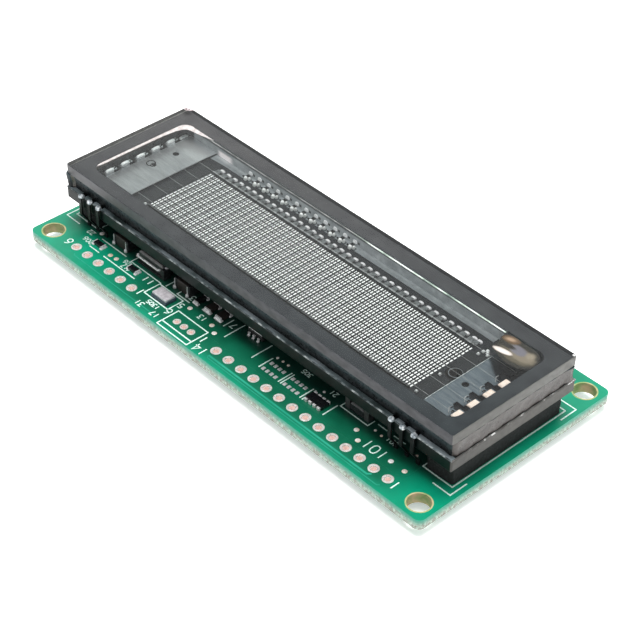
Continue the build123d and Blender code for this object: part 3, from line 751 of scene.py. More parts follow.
# %% Band of sealing glass in the window
pale_seal = coat("fired sealing glass", 0.6, {0.3: "#CDBCBC", 0.6: "#F0E4E4", 0.8: "#FDF8F8"},
                 rough=(0.5, 0.25, 0.5), bump=(0.4, 0.03), IOR=1.6)
band_path = [((-36.34, -8.3), 0.3), ((-36.34, -7.0), 0.48), ((-36.34, -1.0), 0.5), ((-36.34, 4.0), 0.56),
             ((-36.34, 6.2), 0.8), ((-36.25, 7.4), 1.05), ((-35.85, 8.25), 1.15), ((-35.1, 8.7), 1.0),
             ((-34.0, 8.9), 0.9), ((-33.0, 8.92), 0.8), ((-32.0, 8.92), 0.6), ((-31.0, 8.92), 0.35),
             ((-30.0, 8.92), 0.08)]
band = Shape()
rings = []
for index, (spot, width) in enumerate(band_path):
    before = Vector(band_path[max(index - 1, 0)][0])
    after = Vector(band_path[min(index + 1, len(band_path) - 1)][0])
    ahead = (after - before).normalized()
    inwards = Vector((ahead.y, -ahead.x))
    section = ((-0.2, 0.0), (width, 0.0), (width * 0.9, -0.12), (width * 0.4, -0.3), (-0.2, -0.35))
    rings.append([(*(Vector(spot) + inwards * shift), front_low.z - 0.04 + drop) for shift, drop in section])
add_loft(band, rings)
make("sealing_band", band, [pale_seal], smooth_under=60)

# %% [markdown]
# ## Inside the tube
#
# The floor is a dark glass layer over the wiring. On it lie 112 by 16 phosphor dots, which look like white
# powder when they are off. The drawing has each row as one strip, so the dots come from dividing the
# strips. A dot is a separate lit point of the picture, with a dark gap on every side. The powder scatters
# light that a short render loses in the thick glass, so the dots give off a little of their own.

# %% Floor and dots
floor_glass = coat("black insulating glass layer", 1.5, {0.3: "#0A0C10", 0.7: "#13161B"},
                   rough=(1.0, 0.35, 0.5), IOR=1.55)
dress("anode_plate", floor_glass)

phosphor = coat("zinc oxide phosphor", 0.25, {0.3: "#F4F4F5", 0.6: "#FFFFFF"}, bump=(0.06, 0.01),
                Roughness=0.9, IOR=1.9, Emission_Color=(1, 1, 1, 1), Emission_Strength=0.3)
dot_columns = 112
dot_inset = 0.05
dot_share = 0.4
dots = Shape()
for low, high in solids("dot_rows"):
    pitch = (high.x - low.x) / (dot_columns - 1 + dot_share)
    for column in range(dot_columns):
        left = low.x + column * pitch
        add_block(dots, (left, low.y + dot_inset, low.z - 0.02),
                  (left + pitch * dot_share, high.y - dot_inset, high.z))
make("phosphor_dots", dots, [phosphor], ["dot_rows"])

# %% [markdown]
# Above the dots stand 38 control grids, each a sheet of steel 0.05 mm thick, etched to a fine mesh. The
# real mesh is finer than a pixel, so it is drawn with one wire between each two rows of dots. A grid's two
# end bars and its tab are wider and paler, and a lump of silver paste holds the tab down.

# %% Grid metals
grid_steel = coat("etched nickel steel", 0.6, {0.3: "#202224", 0.7: "#333638"}, rough=(0.5, 0.35, 0.55),
                  Metallic=1.0)
comb_steel = coat("bare nickel steel", 0.5, {0.35: "#56585A", 0.65: "#8E9193"}, rough=(0.5, 0.35, 0.55),
                  Metallic=0.6)
tab_steel = coat("matt nickel steel", 0.5, {0.35: "#7E8082", 0.65: "#C4C6C8"}, rough=(0.5, 0.45, 0.65),
                 Metallic=0.3)
silver_paste = coat("fired silver paste", 0.2, {0.3: "#B8B5B8", 0.6: "#E2DFE2", 0.8: "#FAF8FA"},
                    rough=(0.2, 0.35, 0.6), bump=(0.12, 0.03), Metallic=0.1)

# %% Grids
wire_width = 0.025
rail_width = 0.07
tab_half = 0.42
rows = solids("dot_rows")
row_feet = [low.y for low, high in rows]
row_pitch = (max(row_feet) - min(row_feet)) / (len(rows) - 1)
row_gap = row_pitch - (rows[0][1].y - rows[0][0].y)
first_wire = min(row_feet) - (row_gap + wire_width) / 2
welds = solids("grid_welds")
tab_end = welds[0][0].y
frame_far = tab_end - 1.0
grids = Shape()
for low, high in solids("control_grids"):
    thin = high.z - 0.02
    for left in (low.x, high.x - rail_width):
        add_block(grids, (left, low.y, thin), (left + rail_width, frame_far, high.z))
    add_block(grids, (low.x, low.y, low.z), (high.x, low.y + 0.14, high.z), 1)
    add_block(grids, (low.x, frame_far - 0.2, low.z), (high.x, frame_far, high.z), 2)
    for wire in range(len(rows) + 1):
        near = first_wire + wire * row_pitch
        add_block(grids, (low.x, near, thin), (high.x, near + wire_width, high.z))
    middle = (low.x + high.x) / 2
    add_block(grids, (middle - tab_half, frame_far - 0.05, low.z),
              (middle + tab_half, tab_end - 0.2, high.z), 1)
make("grid_meshes", grids, [grid_steel, comb_steel, tab_steel], ["control_grids"])

# %% Welds
lumps = Shape()
for low, high in welds:
    add_pillow(lumps, (low.x - 0.05, low.y - 0.12, low.z), (high.x + 0.05, low.y + 0.45, low.z + 0.27), 0.25)
make("weld_lumps", lumps, [silver_paste], ["grid_welds"])
dress("grid_rail", floor_glass)

# %% [markdown]
# A strip of silver conductors runs behind the grids, and the twelve far leads end on it. It is widest at
# its left end, with painted shade darkening its near edge and painted light making it paler along its far
# edge. Each lead is fixed by three drops of silver paste: two side by side on the strip, with a painted
# shadow beside them, and one on the wall behind. Light reaches the wall only through the glass, and a short
# render loses it, so the drop there gives off a little of its own.

# %% Conductor strip
silver_print = material("printed silver conductor", Metallic=0.3)
tree = silver_print.node_tree
strip_low, strip_high = span("bus_strip")
near_shaded_tone = mottle(tree, 1.2, {0.35: "#7C8084", 0.65: "#8E9397"})
far_lit_tone = mottle(tree, 1.2, {0.35: "#B4B8BC", 0.65: "#C8CCCF"})
# Painted shade darkens the strip's near edge, and painted light makes its far edge paler.
feed(silver_print, Base_Color=mix(tree, fade(tree, part(tree, "Y"), 8.0, 8.7), near_shaded_tone, far_lit_tone),
     Roughness=wander(tree, 0.4, 0.35, 0.55), Normal=grain(tree, 0.4, 0.006))
dress("bus_strip", silver_print)
strip = Shape()
margin = [(strip_low.x, 7.5), (strip_low.x + 3.0, 7.68), (strip_high.x, 7.88), (strip_high.x, 8.88),
          (strip_low.x, 8.88)]
add_plate(strip, margin, strip_high.z - 0.01, strip_high.z + 0.01)
make("strip_margin", strip, [silver_print])

# %% Lead contacts
bright_paste = coat("polished silver paste", 0.3, {0.3: "#DEDEE0", 0.45: "#F6F4F4", 0.6: "#FFFFFF"},
                    bump=(0.3, 0.06), Metallic=0.1, Roughness=0.3)
dull_paste = coat("silver paste on the wall", 0.4, {0.35: "#D4D2D6", 0.65: "#F6F4F8"}, bump=(0.3, 0.04),
                  Metallic=0.1, Roughness=0.5, Emission_Color=(1, 0.98, 1, 1), Emission_Strength=0.2)
contact_shadow_paint = coat("painted shadow beside a contact", 0.3, {0.35: "#202628", 0.65: "#343C3E"}, Roughness=0.6)
drops = Shape()
far_leads = solids("far_leads")
for low, high in far_leads:
    middle = (low.x + high.x) / 2
    # Painted shadow: a dark plate beside each pair of drops, and a dark block beside the drop on the wall.
    gap = rounded((middle - 0.06, 7.66), (middle + 1.25, 8.38), 0.3)
    add_plate(drops, gap, strip_high.z, strip_high.z + 0.03, 2)
    for left, near, right, far in ((0.0, 7.54, 0.64, 8.12), (0.62, 7.84, 1.06, 8.32)):
        add_pillow(drops, (middle + left, near, rear_high.z + 0.1),
                   (middle + right, far, rear_high.z + 0.65), 0.25)
    add_pillow(drops, (middle, 8.6, rear_high.z + 0.65), (middle + 0.8, 8.88, rear_high.z + 1.1), 0.14, 1)
    add_block(drops, (middle + 0.84, 8.8, rear_high.z + 0.55), (middle + 1.25, 8.86, rear_high.z + 0.9), 2)
make("contact_drops", drops, [bright_paste, dull_paste, contact_shadow_paint])
print(len(far_leads), "lead contacts")

# %% [markdown]
# The wall behind the strip is glazed grey, with a painted pool of light at its left end and painted shade
# just under the pane.
# Light soaks through the glass wall, which a short render can't follow, so the face gives off some light of
# its own colour. A thin line of sealing glass closes it off, dull at the left and broken at the right.

# %% Glazed face of the far wall
wall_face = material("glazed face of the wall", IOR=1.6, Roughness=0.6, Emission_Strength=0.5)
tree = wall_face.node_tree
spot = place(tree)
along = part(tree, "X", spot)
height = part(tree, "Z", spot)
grey_face = mottle(tree, 1.4, {0.3: "#6C7074", 0.55: "#7E8286", 0.75: "#96999C"})
# Painted light: a pale pool at the left end of the wall.
wall_light_pool = maths(tree, "MULTIPLY", fade(tree, along, -29.4, -28.3), fade(tree, along, -25.4, -26.6))
wall_light_pool = maths(tree, "MULTIPLY", wall_light_pool, fade(tree, height, 9.4, 8.9))
face = mix(tree, wall_light_pool, grey_face, linear("#EADFE2"))
# Painted shade: the face turns dark just under the pane.
face = mix(tree, fade(tree, height, 9.45, 9.75), face, linear("#3A3F42"))
feed(wall_face, Base_Color=face, Emission_Color=face, Normal=grain(tree, 0.5, 0.03))
lining = Shape()
add_block(lining, (-34.5, 8.84, strip_high.z - 0.02), (28.9, 8.89, front_low.z - 0.02))
make("far_wall_face", lining, [wall_face])

# %% Far line of sealing glass
far_line = material("edge of the sealing glass", Roughness=0.3)
tree = far_line.node_tree
share = scaled(tree, part(tree, "X"), -2.0 * MM, 6.0 * MM)
dull = mottle(tree, 2.0, {0.35: "#525252", 0.5: "#827F7F", 0.65: "#B0ACAC"})
bright = mottle(tree, 2.0, {0.35: "#70807A", 0.5: "#D5E2D6", 0.6: "#FFFFFF"})
feed(far_line, Base_Color=mix(tree, share, dull, bright))
seam = Shape()
add_plate(seam, [(-30.6, 8.48), (1.0, 8.48), (4.0, 8.36), (28.9, 8.36), (28.9, 8.6), (-30.6, 8.6)],
          front_low.z - 0.09, front_low.z - 0.04)
make("far_seam", seam, [far_line])

# %% [markdown]
# ### Filaments and their anchors
#
# Five tungsten wires coated in white oxide are stretched from the left plate to springs on the right
# plate. The plates are pressed from thin nickel steel. Rolling leaves fine lines along the sheet, which
# stretch its highlights. The wires are welded under small pale tabs.

# %% Filaments
oxide = coat("oxide coated tungsten", 0.3, {0.3: "#8E9092", 0.7: "#BDBEBE"}, Roughness=0.7, IOR=1.7)
wire_radius = 0.022
wires = solids("cathode_filaments")
strands = Shape()
for low, high in wires:
    middle = (low + high) / 2
    add_wire(strands, [(low.x, middle.y, middle.z), (high.x, middle.y, middle.z)], wire_radius, 6)
make("fine_filaments", strands, [oxide], ["cathode_filaments"])

# %% Steel of the anchors
# Painted light: the left plate's steel is given lighter tones than the right plate's.
for side, stops in (("left", {0.3: "#B4B6BA", 0.7: "#CBCCCF"}), ("right", {0.3: "#78848F", 0.7: "#98A2AB"})):
    rolled_steel = material(f"rolled nickel steel {side}", Metallic=0.9)
    tree = rolled_steel.node_tree
    colour = mottle(tree, 0.35, stops, stretch=(0.15, 1, 1))
    if side == "left":
        # Painted light: the left plate is paler towards its far end, where the wall shades it.
        colour = mix(tree, fade(tree, part(tree, "Y"), 3.0, 7.5), colour, linear("#F4F5F8"))
    else:
        across = node(tree, "VectorMath", {0: place(tree), 1: (0.55, 0.835, 0)}, output="Value",
                      operation="DOT_PRODUCT")
        colour = mix(tree, fade(tree, across, 19.9, 20.5), colour, linear("#1C262D"))
    feed(rolled_steel, Base_Color=colour,
         Roughness=wander(tree, 0.4, 0.28, 0.5, stretch=(0.15, 1, 1)),
         Normal=grain(tree, 0.3, 0.01, stretch=(0.1, 1, 1)))
    dress(f"filament_anchor_{side}", rolled_steel)

# %% Weld tabs
pale_tab = coat("weld tab with getter haze", 0.5, {0.3: "#F0D6C6", 0.7: "#FFF0E6"}, bump=(0.3, 0.03),
                Metallic=0.2, Roughness=0.5)
# Painted light: the left tabs are made near white so that they look fully lit.
lit_tab_paint = coat("anchor tab painted as fully lit", 0.5, {0.3: "#EAF2F4", 0.6: "#FFFFFF"}, bump=(0.3, 0.03),
                 Metallic=0.1, Roughness=0.4)
left_low, left_high = span("filament_anchor_left")
right_low, right_high = span("filament_anchor_right")
right_tabs = 4
tabs = Shape()
for index, (low, high) in enumerate(wires):
    middle = (low.y + high.y) / 2
    add_pillow(tabs, (left_low.x, middle - 0.43, left_low.z + 0.6),
               (left_low.x + 0.5, middle + 1.07, left_low.z + 1.0), 0.12, 1)
    if index < right_tabs:
        add_pillow(tabs, (right_high.x - 1.2, middle - 1.0, right_high.z - 0.1),
                   (right_high.x - 0.2, middle + 0.65, right_high.z + 0.16), 0.12)
add_pillow(tabs, (left_low.x + 0.1, left_high.y - 1.9, left_low.z + 0.45),
           (left_low.x + 0.65, left_high.y - 0.3, left_low.z + 0.75), 0.2, 1)
make("filament_tabs", tabs, [pale_tab, lit_tab_paint])

# %% [markdown]
# At the left each tab ends in a bent foot in the wall, made near white as painted light and standing partly
# for painted reflections of the tabs in the wall. At the right each wire hangs from a dark spring, with its
# loose end left standing as a short bright line. A thin pale strip along the right plate's left edge is a
# painted highlight.

# %% Feet, springs and loose ends
# Painted light: this steel is near white so that the feet look pale in the border's shade.
pale_painted_steel = coat("nickel steel painted pale", 0.4, {0.35: "#A9B3B6", 0.65: "#EDF2F3"}, bump=(0.3, 0.03),
                  Metallic=0.3, Roughness=0.5)
tungsten = coat("black spring tungsten", 0.4, {0.3: "#020303", 0.7: "#0B0D10"}, Metallic=0.2, Roughness=0.5)
details = Shape()
level = left_low.z + 0.5
for low, high in wires:
    middle = (low.y + high.y) / 2
    foot = [(-36.2, middle + 0.6, level), (-36.05, middle + 1.1, level + 0.1), (-36.2, middle + 1.6, level)]
    add_wire(details, foot, 0.1)
    add_wire(details, [(-35.7, middle + 1.35, level), (-35.6, middle + 1.6, level + 0.1)], 0.13)
level = right_low.z + 0.45
for low, high in wires[:right_tabs]:
    middle = (low.y + high.y) / 2
    add_pillow(details, (33.35, middle + 0.05, level - 0.1), (33.8, middle + 0.6, level + 0.1), 0.2, 1)
    add_wire(details, [(33.05, middle + 1.0, level), (32.92, middle + 0.7, level)], 0.07, 8, 1)
    add_wire(details, [(32.95, middle + 0.8, level + 0.2), (32.9, middle + 0.4, level + 0.2),
                       (33.45, middle - 0.3, level + 0.1)], 0.05, 6, 2)
# Painted highlight: a thin pale strip along the right plate's left edge.
add_block(details, (right_low.x, right_low.y + 0.2, right_low.z + 0.42),
          (right_low.x + 0.07, right_high.y - 2.0, right_low.z + 0.5))
# Painted shade: a dark ring round the rim of a hole in the left plate.
hole_shade_centre = (left_low.x + 2.4, left_low.y + 7.0)
add_ring(details, circle(hole_shade_centre, 0.74), circle(hole_shade_centre, 0.56), left_low.z + 0.38, left_low.z + 0.44, 1)
make("springs_and_feet", details, [pale_painted_steel, tungsten, oxide])
print(len(wires), "filaments")

# %% [markdown]
# ### Getter
#
# A small ring holds barium. Flashed once by a coil outside, it leaves a mirror on the glass above it that
# soaks up stray gas. The film is thick and dark at its edge and paler and brown in the middle. A pale streak
# across its lower left is a painted highlight, the mirror's painted reflection of a light. Its colours are
# turned ellipses laid over one another, each with noise to make its outline uneven.

# %% Getter ring
getter_metal = coat("getter ring steel", 0.3, {0.3: "#6C675F", 0.7: "#A29B90"}, rough=(0.3, 0.3, 0.5),
                    Metallic=1.0)
dress("getter_ring", getter_metal)


# %% Getter film
def film_patch(tree, x, y, long, wide, turn, soft):
    """1 inside a turned ellipse on the film, in millimetres and degrees, fading to 0 over a soft share."""
    spot = node(tree, "Mapping", {"Vector": place(tree), "Location": (x * MM, y * MM, 0),
                                  "Rotation": (0, 0, math.radians(turn)),
                                  "Scale": (long * MM, wide * MM, 1e3)}, vector_type="TEXTURE")
    reach = node(tree, "VectorMath", {0: spot}, output="Value", operation="LENGTH")
    ragged = maths(tree, "ADD", reach, wander(tree, 0.8, -0.06, 0.06))
    return scaled(tree, ragged, 1.0, 1.0 - soft, interpolation_type="SMOOTHSTEP")


film = material("flashed barium film", IOR=1.6, Metallic=0.3, Roughness=0.35)
tree = film.node_tree
colour = mottle(tree, 0.8, {0.3: "#1C1812", 0.7: "#2A251C"})
# The last two ellipses, pale pink and white, are a painted highlight.
for x, y, long, wide, turn, soft, tone in (
        (32.9, 6.3, 3.0, 1.75, 0, 0.25, "#5F5544"), (33.6, 6.5, 2.3, 1.3, 5, 0.45, "#8A7D6C"),
        (32.5, 7.0, 1.6, 1.0, 0, 0.4, "#7A7680"), (34.3, 7.3, 1.0, 1.0, 20, 0.8, "#9C8F7D"),
        (30.9, 6.75, 1.5, 0.5, 10, 0.5, "#1F1711"), (30.4, 7.95, 1.5, 0.8, 15, 0.3, "#6B5035"),
        (30.3, 7.95, 1.05, 0.48, 18, 0.7, "#BC9C82"), (31.1, 5.5, 1.7, 0.52, 11, 0.25, "#F2E2DC"),
        (31.1, 5.5, 1.35, 0.34, 11, 0.5, "#FFFDFB")):
    colour = mix(tree, film_patch(tree, x, y, long, wide, turn, soft), colour, linear(tone))
feed(film, Base_Color=colour, Normal=grain(tree, 0.8, 0.01))

# %% Outline of the film
film_outline = [
    (29.61, 5.07), (30.83, 4.58), (32.05, 4.15), (33.16, 4.06), (34.34, 4.25), (35.33, 4.75), (35.85, 5.44),
    (35.95, 6.49), (35.64, 7.57), (34.9, 8.3), (34.0, 8.6), (32.96, 8.62), (32.01, 8.55), (31.26, 8.65),
    (30.32, 8.7), (29.5, 8.62), (29.03, 8.18), (29.05, 7.45), (29.4, 6.71), (29.6, 6.2), (29.5, 5.6)]
mirror_low, mirror_high = span("getter_mirror")
sheet_of_film = Shape()
add_plate(sheet_of_film, film_outline, mirror_low.z + 0.01, mirror_high.z - 0.01)
make("getter_film", sheet_of_film, [film], ["getter_mirror"])

# %% [markdown]
# The exhaust hole shows as a thin pale ring on the floor, and a few crumbs of sealing glass lie round it. The
# crumbs are near white and also serve as painted glints.

# %% Exhaust rim and crumbs
bits = Shape()
floor_level = span("anode_plate")[1].z
hole_middle = (28.45, -0.2)
add_ring(bits, circle(hole_middle, 0.98, 28), circle(hole_middle, 0.9, 28),
         floor_level - 0.02, floor_level + 0.04)
for x, y, size in ((27.83, 4.63, 0.13), (27.95, 5.45, 0.14), (28.28, 5.95, 0.16), (28.6, 5.6, 0.14),
                   (28.9, 5.29, 0.15), (27.32, -1.95, 0.12), (27.6, -6.5, 0.13), (-26.5, -6.9, 0.1)):
    reach = 1.4 * size
    add_pillow(bits, (x - reach, y - reach, floor_level - 0.02),
               (x + reach, y + reach, floor_level + 0.3), 0.4, 1)
crumb_glints = coat("crumbs of sealing glass as painted glints", 0.3, {0.3: "#EDEFF0", 0.7: "#FFFFFF"}, IOR=1.6, Roughness=0.3)
make("crumbs", bits, [silver_print, crumb_glints])

# %% [markdown]
# Handling has knocked small chips off the two far corners of the front pane and bruised the left one. The
# chips and the bruise are near white, painted glints where the corners catch the light.

# %% Corner chips with painted glints
fresh_chip_glint = coat("fresh glass chip with painted glint", 0.2, {0.3: "#C9C4C6", 0.55: "#FFFFFF"}, bump=(0.2, 0.05), IOR=1.52,
                  Roughness=0.25)
chips = Shape()
for x, y, wide, deep in ((front_low.x + 0.45, front_high.y - 0.3, 0.42, 0.24),
                         (front_high.x - 0.33, front_high.y - 0.3, 0.26, 0.24)):
    add_pillow(chips, (x - wide, y - deep, front_high.z - 0.15), (x + wide, y + deep, front_high.z), 0.3)
bruised_glint_glass = coat("glass bruised by handling with painted glint", 0.3, {0.38: "#806E72", 0.5: "#B9A9AC", 0.6: "#E4DADC"},
                     IOR=1.52, Roughness=0.4)
bruise = [(front_low.x + x, front_high.y + y) for x, y in (
    (0.1, -0.9), (0.15, -0.1), (1.5, -0.1), (1.3, -0.5), (0.95, -0.7), (0.6, -1.05))]
add_plate(chips, bruise, front_high.z - 0.07, front_high.z - 0.02, 1)
make("corner_chip_glints", chips, [fresh_chip_glint, bruised_glint_glass])

# %% [markdown]
# ## Leads
#
# The pins of the tube are nickel-iron, grey and a little scaled from the oven, and dipped in solder at
# their knees. They leave the seal flat on the rear glass, turn down past its edge and go through the
# board, where a cone of solder holds each one.

# %% Leads and solder
lead_alloy = coat("oven-scaled nickel iron", 0.5, {0.3: "#141516", 0.6: "#252628", 0.8: "#47494C"},
                  rough=(0.4, 0.3, 0.55), bump=(0.3, 0.02), Metallic=0.85)
solder = coat("tin-lead solder", 0.5, {0.3: "#C8C8CB", 0.7: "#FAFAFB"}, rough=(0.4, 0.25, 0.5),
              bump=(0.4, 0.05), Metallic=0.45)
dress("near_leads", lead_alloy, bevel=0.05)
dress("far_leads", lead_alloy, bevel=0.05)
dress("solder_joints", solder, bevel=0.2)

# %% Dipped knees
knees = Shape()
swell = 0.14
for leads, toward, back in (("near_leads", 0.1, 0.75), ("far_leads", 0.75, 0.1)):
    for low, high in solids(leads):
        edge = low.y if leads == "near_leads" else high.y
        add_pillow(knees, (low.x - swell, edge - toward, rear_high.z + 0.02),
                   (high.x + swell, edge + back, rear_high.z + 0.5), 0.35)
knee_solder = coat("dull dipped solder", 0.35, {0.35: "#4E585F", 0.5: "#A9B2B8", 0.65: "#F7FAFC"},
                   rough=(0.4, 0.2, 0.5), bump=(0.3, 0.08), Metallic=0.3)
make("dipped_knees", knees, [knee_solder])

# %% [markdown]
# ## Small parts
#
# Chip parts are ceramic bricks with metal ends. Their look comes from the contrast between a matt fired
# body, a smooth glaze and bright tin. The power coil is ferrite, a dark grey pressed ceramic, and the
# small transformer is wrapped in dark tape.

# %% Part finishes
capacitor_ceramic = coat("barium titanate ceramic", 0.4, {0.3: "#16120F", 0.7: "#261F19"},
                         rough=(0.5, 0.45, 0.65), bump=(0.15, 0.01), IOR=1.6)
tinned_end = coat("matt tin plating", 0.3, {0.3: "#D8D9DB", 0.7: "#FDFDFD"}, rough=(0.3, 0.3, 0.5),
                  bump=(0.2, 0.02), Metallic=0.4)
resistor_glaze = coat("black glass glaze", 0.5, {0.3: "#0D0E10", 0.7: "#191B1E"}, rough=(0.4, 0.2, 0.4),
                      IOR=1.52, Coat_Weight=0.4)
ferrite = coat("pressed ferrite", 0.3, {0.3: "#0C0D0E", 0.7: "#1A1B1D"}, rough=(0.6, 0.35, 0.6),
               bump=(0.2, 0.02), IOR=2.0)
winding_tape = coat("polyester winding tape", 1.2, {0.3: "#121416", 0.7: "#1F2225"}, rough=(0.8, 0.2, 0.35),
                    bump=(1.5, 0.03, (1, 1, 4)), IOR=1.55)
package_ceramic = coat("dark alumina package", 0.3, {0.3: "#26323F", 0.7: "#3A4A5B"}, rough=(0.4, 0.4, 0.6),
                       IOR=1.7)
lid_metal = coat("nickel lid", 0.5, {0.3: "#C4BFC4", 0.7: "#EDE9ED"}, rough=(0.6, 0.3, 0.45),
                 bump=(0.4, 0.015), Metallic=0.4)
epoxy = coat("black moulded epoxy", 0.3, {0.3: "#101112", 0.7: "#1D1F20"}, rough=(0.3, 0.5, 0.7),
             bump=(0.08, 0.008), IOR=1.55)
# Painted shade: tin ends made dark because they sit in shade on the near side.
shaded_tin_end = coat("tin end in painted shade", 0.4, {0.3: "#1E1F20", 0.6: "#333537", 0.8: "#5A5D60"},
                rough=(0.3, 0.3, 0.5), bump=(0.2, 0.02), Metallic=0.5)

# %% Dress the parts
for name, finish, bevel in (
        ("bulk_capacitors", capacitor_ceramic, 0.12), ("bulk_capacitor_ends", shaded_tin_end, 0.1),
        ("chip_capacitors", capacitor_ceramic, 0.05), ("chip_capacitor_ends", tinned_end, 0.05),
        ("chip_resistors", resistor_glaze, 0.04), ("chip_resistor_ends", tinned_end, 0.04),
        ("power_inductor", ferrite, 0.15), ("inductor_clip", shaded_tin_end, 0.05),
        ("transformer_core", ferrite, 0.12), ("transformer_winding", winding_tape, 0.2),
        ("oscillator_base", package_ceramic, 0.06), ("oscillator_lid", lid_metal, 0.06),
        ("regulator_chip", epoxy, 0.06), ("regulator_legs", solder, 0.03),
        ("array_pads", solder, 0.05), ("resistor_array", resistor_glaze, 0.05),
        ("resistor_array_ends", tinned_end, 0.05)):
    dress(name, finish, bevel)

# %% [markdown]
# Each end of a chip part sits in a small wave of solder that climbs it from the pad. These waves are what
# shines on a board seen from the side. One pillow at the foot of each end, a little wider than the part,
# stands for it. The ends of the bulk capacitors and the clip of the coil are painted dark as painted shade,
# each with one bright solder wire along an edge as a painted highlight.

# %% Solder feet
feet = Shape()
spread = 0.2
for low, high in solids("bulk_capacitor_ends"):
    # Painted highlight: a thin bright wire up one edge of each end, and along the coil's clip.
    x, y = low.x + 0.1, low.y - 0.02
    add_wire(feet, [(x, y, board_top + 0.3), (x, y, high.z - 0.1)], 0.09)
    add_pillow(feet, (x - 0.3, y - 0.35, board_top - 0.02), (x + 0.3, y + 0.2, board_top + 0.5), 0.3)
low, high = span("inductor_clip")
top = high.z - 0.1
add_wire(feet, [(low.x + 0.2, low.y - 0.02, top), (low.x + 0.5, low.y - 0.1, top - 0.35),
                (high.x - 1.2, low.y - 0.1, top - 0.35), (high.x - 0.8, low.y - 0.05, top - 0.1)], 0.16)
add_pillow(feet, (high.x - 0.65, low.y + 0.5, top), (high.x, low.y + 1.2, high.z + 0.1), 0.3)
# Painted highlight: a thin bright wire along the top front edge of the regulator.
low, high = span("regulator_chip")
add_wire(feet, [(low.x + 0.15, low.y + 0.06, high.z - 0.05), (high.x - 0.15, low.y + 0.06, high.z - 0.05)],
         0.06, 6)
for ends in ("chip_capacitor_ends", "chip_resistor_ends"):
    for low, high in solids(ends):
        rise = min(0.5, (high.z - board_top) * 0.6)
        add_pillow(feet, (low.x - spread, low.y - spread, board_top - 0.02),
                   (high.x + spread, high.y + spread, board_top + rise), 0.2)
make("solder_feet", feet, [solder])

# %% [markdown]
# ## The white legend
#
# Screen printed ink marks where parts go and numbers the pins. It lies on the lacquer about 0.02 mm thick
# and its edges are a little ragged. Outlines are flat lines, and numbers are drawn from a few strokes
# each, the way a plotter pen draws them. They read from the far edge, so they are turned by half a turn.

# %% Ink and digits
ink = coat("white epoxy ink", 0.15, {0.25: "#93C8B6", 0.42: "#CFEDE3", 0.65: "#F0FBF7"}, bump=(0.1, 0.01),
           Roughness=0.6, IOR=1.5)
ink_low = board_top - 0.01
ink_high = board_top + copper_rise + 0.02
bowl = [(0, 0.2), (0.15, 0), (0.45, 0), (0.6, 0.2), (0.6, 0.42), (0.45, 0.56), (0.15, 0.56), (0, 0.42)]
strokes = {
    "0": [(0.3, 0), (0.1, 0.08), (0, 0.3), (0, 0.7), (0.1, 0.92), (0.3, 1), (0.5, 0.92), (0.6, 0.7),
          (0.6, 0.3), (0.5, 0.08), (0.3, 0)],
    "1": [(0.3, 0), (0.3, 1)],
    "2": [(0, 0.82), (0.15, 1), (0.45, 1), (0.6, 0.82), (0.55, 0.6), (0, 0), (0.62, 0)],
    "3": [(0, 1), (0.6, 1), (0.28, 0.6), (0.5, 0.55), (0.6, 0.35), (0.55, 0.12), (0.35, 0), (0.1, 0.03),
          (0, 0.15)],
    "4": [(0.45, 0), (0.45, 1), (0, 0.32), (0.62, 0.32)],
    "5": [(0.58, 1), (0.05, 1), (0, 0.55), (0.35, 0.6), (0.58, 0.45), (0.58, 0.15), (0.4, 0), (0.1, 0),
          (0, 0.12)],
    "6": [(0.5, 1), (0.2, 0.8), (0, 0.42)] + bowl[::-1][1:] + [(0, 0.42)],
    "7": [(0, 1), (0.6, 1), (0.2, 0)],
}


def add_ink(path, width=0.18, loop=False):
    """A line of ink on the board."""
    add_line(legend, path, width, ink_low, ink_high, loop=loop)


def add_number(text, middle_x, middle_y, height, width):
    """Pen-drawn digits round a middle, turned by half a turn."""
    advance = 0.85 * height
    start = middle_x + advance * (len(text) - 1) / 2 + 0.3 * height
    for index, digit in enumerate(text):
        left = start - index * advance
        add_ink([(left - x * height, middle_y + (0.5 - y) * height) for x, y in strokes[digit]], width)


